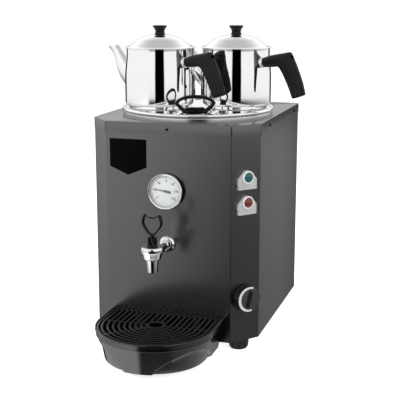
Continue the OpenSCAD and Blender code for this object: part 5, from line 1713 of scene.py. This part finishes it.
@dataclass
class Tray:
    """D-shaped drip tray with arched sides and its lift-out grille."""

    centre_y: float = -320.0
    radius: float = 136.0
    top: float = 85.0
    low: float = 13.0
    wall: float = 3.0
    band: float = 16.0
    taper: float = 10.0
    arch: float = 5.0
    arch_height: float = 45.0
    arch_turn: float = 58.0
    arch_half: float = 92.0
    back: float = -237.0
    grille_z: float = 80.0
    grille_radius: float = 132.4
    finger: float = 16.0
    first_slot: float = 23.75
    pitch: float = 12.4
    slot: float = 6.8
    slots: int = 8
    thick: float = 3.0
    rib: float = 4.0
    flange: float = 6.0
    lip: float = 5.0
    basin: float = 8.0
    inner_rows: int = 15
    window_x: float = 70.0
    window_half: float = 13.0
    crease: float = 38.0

    def path(self, radius: float, back: float, straight: int = 10, bow: int = 144) -> Array:
        """Open line from the back left corner forwards, round the front and to the back right.

        Args:
            radius: radius of the round front.
            back: y of the back from the round's centre.
            straight: points on each side.
            bow: points on the round.

        Returns:
            Array of (x, y).
        """
        down = np.linspace(back, 0, straight, endpoint=False)
        left = np.stack([np.full(straight, -radius), down], -1)
        curve = circle(radius, bow, 180.0, 179.999)
        right = np.stack([np.full(straight, radius), np.linspace(0, back, straight + 1)[1:]], -1)
        return np.concatenate([left, curve, right])

    def ring(self, inset: Array, z: Array) -> Array:
        """Ring of the tray with an inset and a height for all of its points or for each.

        Point i of the path moves in along its normal by inset[i] and lies at z[i].

        Args:
            inset: distance inwards.
            z: height.

        Returns:
            Array (points, 3).
        """
        base = self.path(self.radius, self.back - self.centre_y)
        inset, z = (np.broadcast_to(value, len(base))[:, None] for value in (inset, z))
        return np.concatenate([base - self.outward(base) * inset, z], -1)

    def outward(self, line: Array) -> Array:
        """Unit normals of a path: level beside the straights, from its centre round the front.

        Args:
            line: (x, y) of the path's points.

        Returns:
            Array of (x, y), one to each point.
        """
        normal = line.copy()
        normal[:, 1] = np.minimum(normal[:, 1], 0.0)
        return normal / np.linalg.norm(normal, axis=1, keepdims=True)

    def arches(self) -> Array:
        """Height of the wall's foot at each point of the path: the floor, or an arch's edge.

        An arch's edge is at low + height - R + sqrt(R^2 - s^2), where s is the distance
        across the arch's axis.

        Returns:
            A height for each point.
        """
        base = self.path(self.radius, self.back - self.centre_y)
        big = (self.arch_half**2 + self.arch_height**2) / (2 * self.arch_height)
        edge = np.full(len(base), self.low)
        for side in (-1, 1):
            axis = math.radians(-90 + side * self.arch_turn)
            s = base @ [-math.sin(axis), math.cos(axis)]
            ahead = base @ [math.cos(axis), math.sin(axis)] > 0
            rise = self.low + self.arch_height - big + np.sqrt(np.maximum(big**2 - s**2, 0.0))
            edge = np.maximum(edge, np.where(ahead & (np.abs(s) < self.arch_half), rise, self.low))
        return edge

    def shell(self) -> Thing:
        """Tray shell.

        Rows run from the underside out to the wall, up under the arches, out over each
        arch's edge, up the wall and round the band, over the rim and down inside. Below
        an arch's edge the wall stands back by the arch's depth.
        """
        edge, wall_top = self.arches(), self.top - self.band
        step = np.clip((edge - self.low) / 2.0, 0, 1)
        deep, floor = self.arch * step, self.low + self.wall

        def row(z: Array, more: Array = 0.0, up: Array = 0.0) -> Array:
            """Ring at the tapered wall's inset for a height and some more, raised by up."""
            inset = self.lip + self.taper * (wall_top - z) / (wall_top - self.low)
            return self.ring(inset + more, z + up)

        foot = self.low + np.zeros_like(edge)
        rows = [row(foot, deep + 1.2), row(foot, deep + 0.3, 0.35), row(foot, deep, 1.2)]
        rows += [row(foot + (edge - 0.9 * step - foot) * f, deep) for f in (0.35, 0.75, 1.0)]
        rows += [row(edge, deep * 0.88, -0.15 * step), row(edge, 0.6 * step),
                 row(edge, 0.1 * step, 0.3 * step)]
        rows += [row(edge + 1.0 + (wall_top - 0.8 - edge - 1.0) * f)
                 for f in np.linspace(0.02, 1.0, 10)]
        seat = 10.2
        lip = [(3.4, -0.25), (2.2, 0.0), (2.0, 0.3), (1.95, 1.2), (1.1, 10.5), (1.05, 11.0),
               (0.1, 11.3), (0.0, 11.6), (0.0, 15.0), (0.25, 15.7), (0.8, 16.0), (2.2, 16.0),
               (2.8, 15.7), (3.0, 15.0), (3.0, 10.7), (3.2, 10.5), (7.6, 10.5), (self.basin, seat)]
        rows += [self.ring(i, wall_top + z) for i, z in lip]
        rows += [row(wall_top + seat + (floor - wall_top - seat) * f, self.basin)
                 for f in np.linspace(0.1, 0.94, 8)]
        rows += [row(floor, self.basin + 0.6, 1.2), row(floor, self.basin + 3.0)]
        grid = self.close_back(np.stack(rows))
        form = Form(Place((0.0, self.centre_y, 0.0))).grid(grid, loop_cols=True)
        piece = form.face(grid[0]).face(grid[-1]).mesh("drip_tray_shell", self.crease)
        windows = []
        for x in (-self.window_x, self.window_x):
            opening = oblong(x - self.window_half, -246, x + self.window_half, -230)
            windows.append(Form().prism(opening, 49.0, 71.0).mesh("window"))
        cut(piece, windows, self.crease)
        return piece

    def close_back(self, grid: Array) -> Array:
        """Ends each ring at the back: the outside at the back plane, the basin a wall before it.

        Args:
            grid: the shell's rings.

        Returns:
            The rings with level ends.
        """
        inside = np.arange(len(grid)) >= len(grid) - self.inner_rows
        reach = self.back - self.centre_y
        limit = np.where(inside, reach - self.wall, reach)[:, None]
        ends = grid.copy()
        ends[..., 1] = np.minimum(ends[..., 1], limit)
        return ends

    def grille(self) -> Thing:
        """Grille: U-shaped bars between two radii, joined by ribs, a hub plate and a back bar.

        Each bar is a rounded rectangle carried along the U of its own mean radius. Four
        straight strips run from the hub plate to the back bar.
        """
        back = self.back - self.wall - 0.6 - self.centre_y
        t, f, r, first = self.thick, self.flange, self.grille_radius, self.first_slot
        centre = (0.0, self.centre_y, self.grille_z)
        form = Form(Place(centre))
        for k in range(self.slots):
            inner = first + k * self.pitch + self.slot
            self.add_bar(form, inner, first + (k + 1) * self.pitch, back)
        self.add_bar(form, r - f, r, back)
        hub = rounded([(self.finger, 0.0), (first, 0.0, 0.2), (first, t, 0.9),
                       (self.finger, t, 0.9)], 0.2, 4, True)
        form.lathe(hub, 96, loop=True)
        bar = rounded([(0.6 - r, back - f), (r - 0.6, back - f), (r, back, 0.8), (-r, back, 0.8)],
                      0.3, 3, True)
        form.prism(flow(bar), 0.0, t, 0.7, 3)
        for k in (-2, -1, 0, 1):
            x0, x1 = k * self.pitch + self.slot / 2, (k + 1) * self.pitch - self.slot / 2
            low = math.sqrt(max((first - 1) ** 2 - max(abs(x0), abs(x1)) ** 2, 0.0))
            form.prism(oblong(x0, low, x1, back - 2), 0.0, t, 0.7, 3)
        for a in (0, 180, 225, 270, 315):
            form.place = Place(centre, turned(a))
            rib = oblong(self.finger + 2, -self.rib / 2, r - 2, self.rib / 2)
            form.prism(rib, 0.0, t * 0.72, 0.4, 2)
        return form.mesh("drip_grille_bars", self.crease)

    def add_bar(self, form: Form, inner: float, outer: float, back: float) -> None:
        """Adds one U-shaped bar between two radii, with its upper edges rounded.

        Args:
            form: what takes the bar.
            inner: radius of its inside.
            outer: radius of its outside.
            back: y of its ends from the round's centre.
        """
        t, ease = self.thick, 0.9
        section = rounded([(inner, 0.0, 0.2), (outer, 0.0, 0.2), (outer, t, ease),
                           (inner, t, ease)], 0.2, 4, True)
        way = self.path(1.0, 1.0)
        rise = np.maximum(way[:, 1], 0.0) * (back - 1.0)
        shift = np.stack([np.zeros_like(rise), rise], -1)
        rings = self.outward(way)[:, None, :] * section[None, :, :1] + shift[:, None, :]
        z = np.broadcast_to(section[None, :, 1:], rings.shape[:2] + (1,))
        form.tube(np.concatenate([rings, z], -1))

    def build(self, dresser: Dresser) -> None:
        """Makes and dresses every piece."""
        dresser.dress(self.shell(), TRAY, "drip_tray", body="tray")
        dresser.dress(self.grille(), GRILLE, "drip_grille", body="grille")


# ---- studio ----


@dataclass
class Sky(Nodes):
    """Surroundings: plain white to the camera, and to gloss a pale tent over a dark bench.

    With d the direction of a glossy ray and az = atan2(dx, -dy), what it meets is

        upper(az, dz) = tent(dz) * (1 - front) * (1 - 0.97 back) * veil(dz)
        lower(az, dz) = bench(az) * fade(dz) * near(dz), at least paper(dz)

    blended across the horizon. Front and back are soft-edged dark gaps in the tent, behind
    the camera and opposite it, which end at a height of their own. Tent, veil, fade, near
    and paper are each (start dz, end dz, value at start, value at end): the tent's two
    panels, the grey cloth overhead, the bench's far part, its brighter close part, and the
    white sheet round the foot of the object.
    """

    front_turn: float = STAND_TURN
    front_half: float = 15.0
    front_top: Pair = (0.26, 0.42)
    back_turn: float = STAND_TURN - 180
    back_half: float = 38.0
    back_top: Pair = (0.03, 0.09)
    back_depth: float = 0.97
    gap_edge: float = 1.5
    plain: float = 0.34
    tent: tuple[float, ...] = (0.25, 0.4, 0.94, 1.06)
    veil: tuple[float, ...] = (0.5, 0.98, 1.0, 0.5)
    fade: tuple[float, ...] = (-0.33, -0.156, 0.7, 1.1)
    near: tuple[float, ...] = (-0.6, -0.36, 2.4, 1.0)
    paper: tuple[float, ...] = (-0.78, -0.64, 0.75, 0.0)
    horizon: Pair = (-0.15, -0.10)
    bench: tuple[Pair, ...] = (
        (-180, 0.02), (-136, 0.02), (-124, 0.55), (-60, 0.85), (-27, 0.97), (-22, 0.84), (-19, 0.5),
        (-16, 0.08), (-12, 0.003), (40, 0.003), (60, 0.145), (81, 0.2), (120, 0.32), (165, 0.39),
        (172, 0.36), (178, 0.04), (180, 0.02))

    def __post_init__(self) -> None:
        """Makes the scene's world with an empty node tree."""
        world = bpy.data.worlds.new("studio")
        bpy.context.scene.world = world
        super().__init__(world)

    def sum(self, operation: str, *inputs: object) -> Socket:
        """Adds a math node fed by sockets or numbers.

        Args:
            operation: what the node works out.
            inputs: sockets or numbers.

        Returns:
            Socket of the result.
        """
        node = self.add("Math", operation=operation)
        for k, value in enumerate(inputs):
            if isinstance(value, (int, float)):
                node.inputs[k].default_value = value
            else:
                self.join(value, node.inputs[k])
        return node.outputs[0]

    def times(self, first: Socket, *others: object) -> Socket:
        """Product of sockets or numbers."""
        for other in others:
            first = self.sum("MULTIPLY", first, other)
        return first

    def gap(self, way: Sequence[Socket], turn: float, half: float, top: Pair) -> Socket:
        """One inside a gap of that half width round an azimuth, below its top, else nought.

        Args:
            way: x, y and z of the ray's direction.
            turn: azimuth of the gap's middle, in degrees.
            half: half width in degrees.
            top: the two heights between which it fades.

        Returns:
            Socket of the share.
        """
        x, y, z = way
        c, s = math.cos(math.radians(turn)), math.sin(math.radians(turn))
        side = self.sum("ADD", self.times(x, c), self.times(y, s))
        ahead = self.sum("ADD", self.times(x, s), self.times(y, -c))
        angle = self.sum("ABSOLUTE", self.sum("ARCTAN2", side, ahead))
        start, end = math.radians(half - self.gap_edge), math.radians(half + self.gap_edge)
        return self.times(self.ease(angle, start, end, 1.0, 0.0), self.ease(z, *top, 1.0, 0.0))

    def bench_light(self, turn: Socket) -> Socket:
        """The bench's light by azimuth, as a ramp of its levels over their largest.

        Args:
            turn: socket of the azimuth in radians.

        Returns:
            Socket of the light.
        """
        node = self.add("ValToRGB")
        stops, most = node.color_ramp.elements, max(level for _, level in self.bench)
        for k, (azimuth, _) in enumerate(self.bench):
            place = (azimuth + 180) / 360
            stop = stops[k] if k < 2 else stops.new(place)
            stop.position = place
        for stop, (_, level) in zip(stops, self.bench):
            stop.color = (level / most, level / most, level / most, 1.0)
        self.join(self.sum("MULTIPLY_ADD", turn, 1 / (2 * math.pi), 0.5), node.inputs[0])
        return self.times(node.outputs[0], most)

    def glossy(self, way: Sequence[Socket]) -> Socket:
        """What a glossy ray meets.

        Args:
            way: x, y and z of the ray's direction.

        Returns:
            Socket of the strength.
        """
        x, y, z = way
        front = self.gap(way, self.front_turn, self.front_half, self.front_top)
        back = self.gap(way, self.back_turn, self.back_half, self.back_top)
        upper = self.times(self.sum("MULTIPLY_ADD", front, -1.0, 1.0),
                           self.sum("MULTIPLY_ADD", back, -self.back_depth, 1.0),
                           self.ease(z, *self.tent), self.ease(z, *self.veil))
        lower = self.bench_light(self.sum("ARCTAN2", x, self.times(y, -1.0)))
        lower = self.times(lower, self.ease(z, *self.fade, "LINEAR"), self.ease(z, *self.near))
        lower = self.sum("MAXIMUM", lower, self.ease(z, *self.paper))
        share = self.ease(z, *self.horizon, 0.0, 1.0)
        return self.sum("ADD", lower, self.times(share, self.sum("SUBTRACT", upper, lower)))

    def build(self) -> None:
        """Joins what each kind of ray meets to the background."""
        split = self.add("SeparateXYZ")
        self.join(self.add("TexCoord").outputs["Generated"], split.inputs[0])
        rays = self.add("LightPath").outputs
        clear = self.sum("MAXIMUM", rays["Is Camera Ray"], rays["Is Transmission Ray"])
        gloss = rays["Is Glossy Ray"]
        rest = self.sum("SUBTRACT", 1.0, self.sum("MAXIMUM", clear, gloss))
        shine = self.times(gloss, self.glossy(split.outputs))
        total = self.sum("ADD", self.sum("ADD", clear, self.times(rest, self.plain)), shine)
        back, out = self.add("Background"), self.add("OutputWorld")
        back.inputs["Color"].default_value = (1.0, 1.0, 1.0, 1.0)
        self.join(total, back.inputs["Strength"])
        self.join(back.outputs[0], out.inputs[0])


@dataclass
class Studio:
    """Camera, lamps, floor and surroundings."""

    lens: float = 85.9
    yaw: float = 17.28
    pitch: float = 12.49
    spot: Vec = (694.9, -2222.5, 816.9)
    film: float = 36.0
    floor_half: float = 9000.0
    floor_glow: float = 0.8

    def camera(self) -> None:
        """Adds the camera."""
        data = bpy.data.cameras.new("camera")
        data.lens, data.sensor_width = self.lens, self.film
        item = placed("camera", data)
        item.location = metres(self.spot)
        item.rotation_euler = (math.radians(90 - self.pitch), 0.0, math.radians(self.yaw))
        bpy.context.scene.camera = item

    def lamp(self, name: str, spot: Vec, aim: Vec, size: float, watts: float) -> None:
        """Adds a soft square lamp of a size in metres that points at a spot.

        Args:
            name: name of the lamp.
            spot: its place.
            aim: the point that it faces.
            size: length of its side.
            watts: its power.
        """
        data = bpy.data.lights.new(name, "AREA")
        data.shape, data.size, data.size_y, data.energy = "RECTANGLE", size, size, watts
        item = placed(name, data)
        item.location = metres(spot)
        away = np.array(spot) - np.array(aim)
        level = math.hypot(away[0], away[1])
        item.rotation_euler = (math.atan2(level, away[2]), 0.0, math.atan2(away[0], -away[1]))
        item.visible_glossy = False

    def floor(self) -> None:
        """Adds the pale floor: white to the camera, keeps the shadow, dim to other rays."""
        near, far = (-self.floor_half, self.floor_half)
        corners = [[[near, near, 0], [far, near, 0]], [[near, far, 0], [far, far, 0]]]
        piece = Form().grid(np.array(corners, float)).mesh("floor")
        graph = Graph("floor_paper")
        fibre = graph.noise((40.0,) * 3, 4.0)
        white = graph.blend(fibre, (0.93,) * 3, (0.95,) * 3)
        graph.join(white, graph.shader.inputs["Base Color"])
        graph.set(Roughness=0.9, Specular_IOR_Level=0.0)
        graph.shader.inputs["Emission Color"].default_value = (1.0, 1.0, 1.0, 1.0)
        seen = graph.add("LightPath").outputs["Is Camera Ray"]
        glow = graph.span(seen, 0.0, self.floor_glow, 0.0, 1.0)
        graph.join(glow, graph.shader.inputs["Emission Strength"])
        piece.data.materials.append(graph.material)
        piece.visible_glossy = False

    def build(self) -> None:
        """Makes the whole set."""
        self.camera()
        self.floor()
        Sky().build()
        self.lamp("key", (-1900, -2400, 2300), (0, -100, 350), 1.6, 62.0)
        self.lamp("fill", (2600, -600, 1600), (0, 0, 350), 1.8, 34.0)
        self.lamp("top", (200, 400, 3000), (0, 0, 500), 2.2, 40.0)
        bpy.context.scene.view_settings.view_transform = "Standard"


def main() -> None:
    """Builds every sub-assembly in turn."""
    logging.basicConfig(level=logging.INFO, format="%(name)s: %(message)s")
    dresser = Dresser()
    pots = [Pot(side) for side in Side]
    for assembly in (Cabinet(), Boiler(), *pots, Tap(), Thermometer(), Controls(), Tray()):
        assembly.build(dresser)
    Studio().build()
    LOG.info("%d new pieces", dresser.count)


if __name__ == "__main__":
    main()
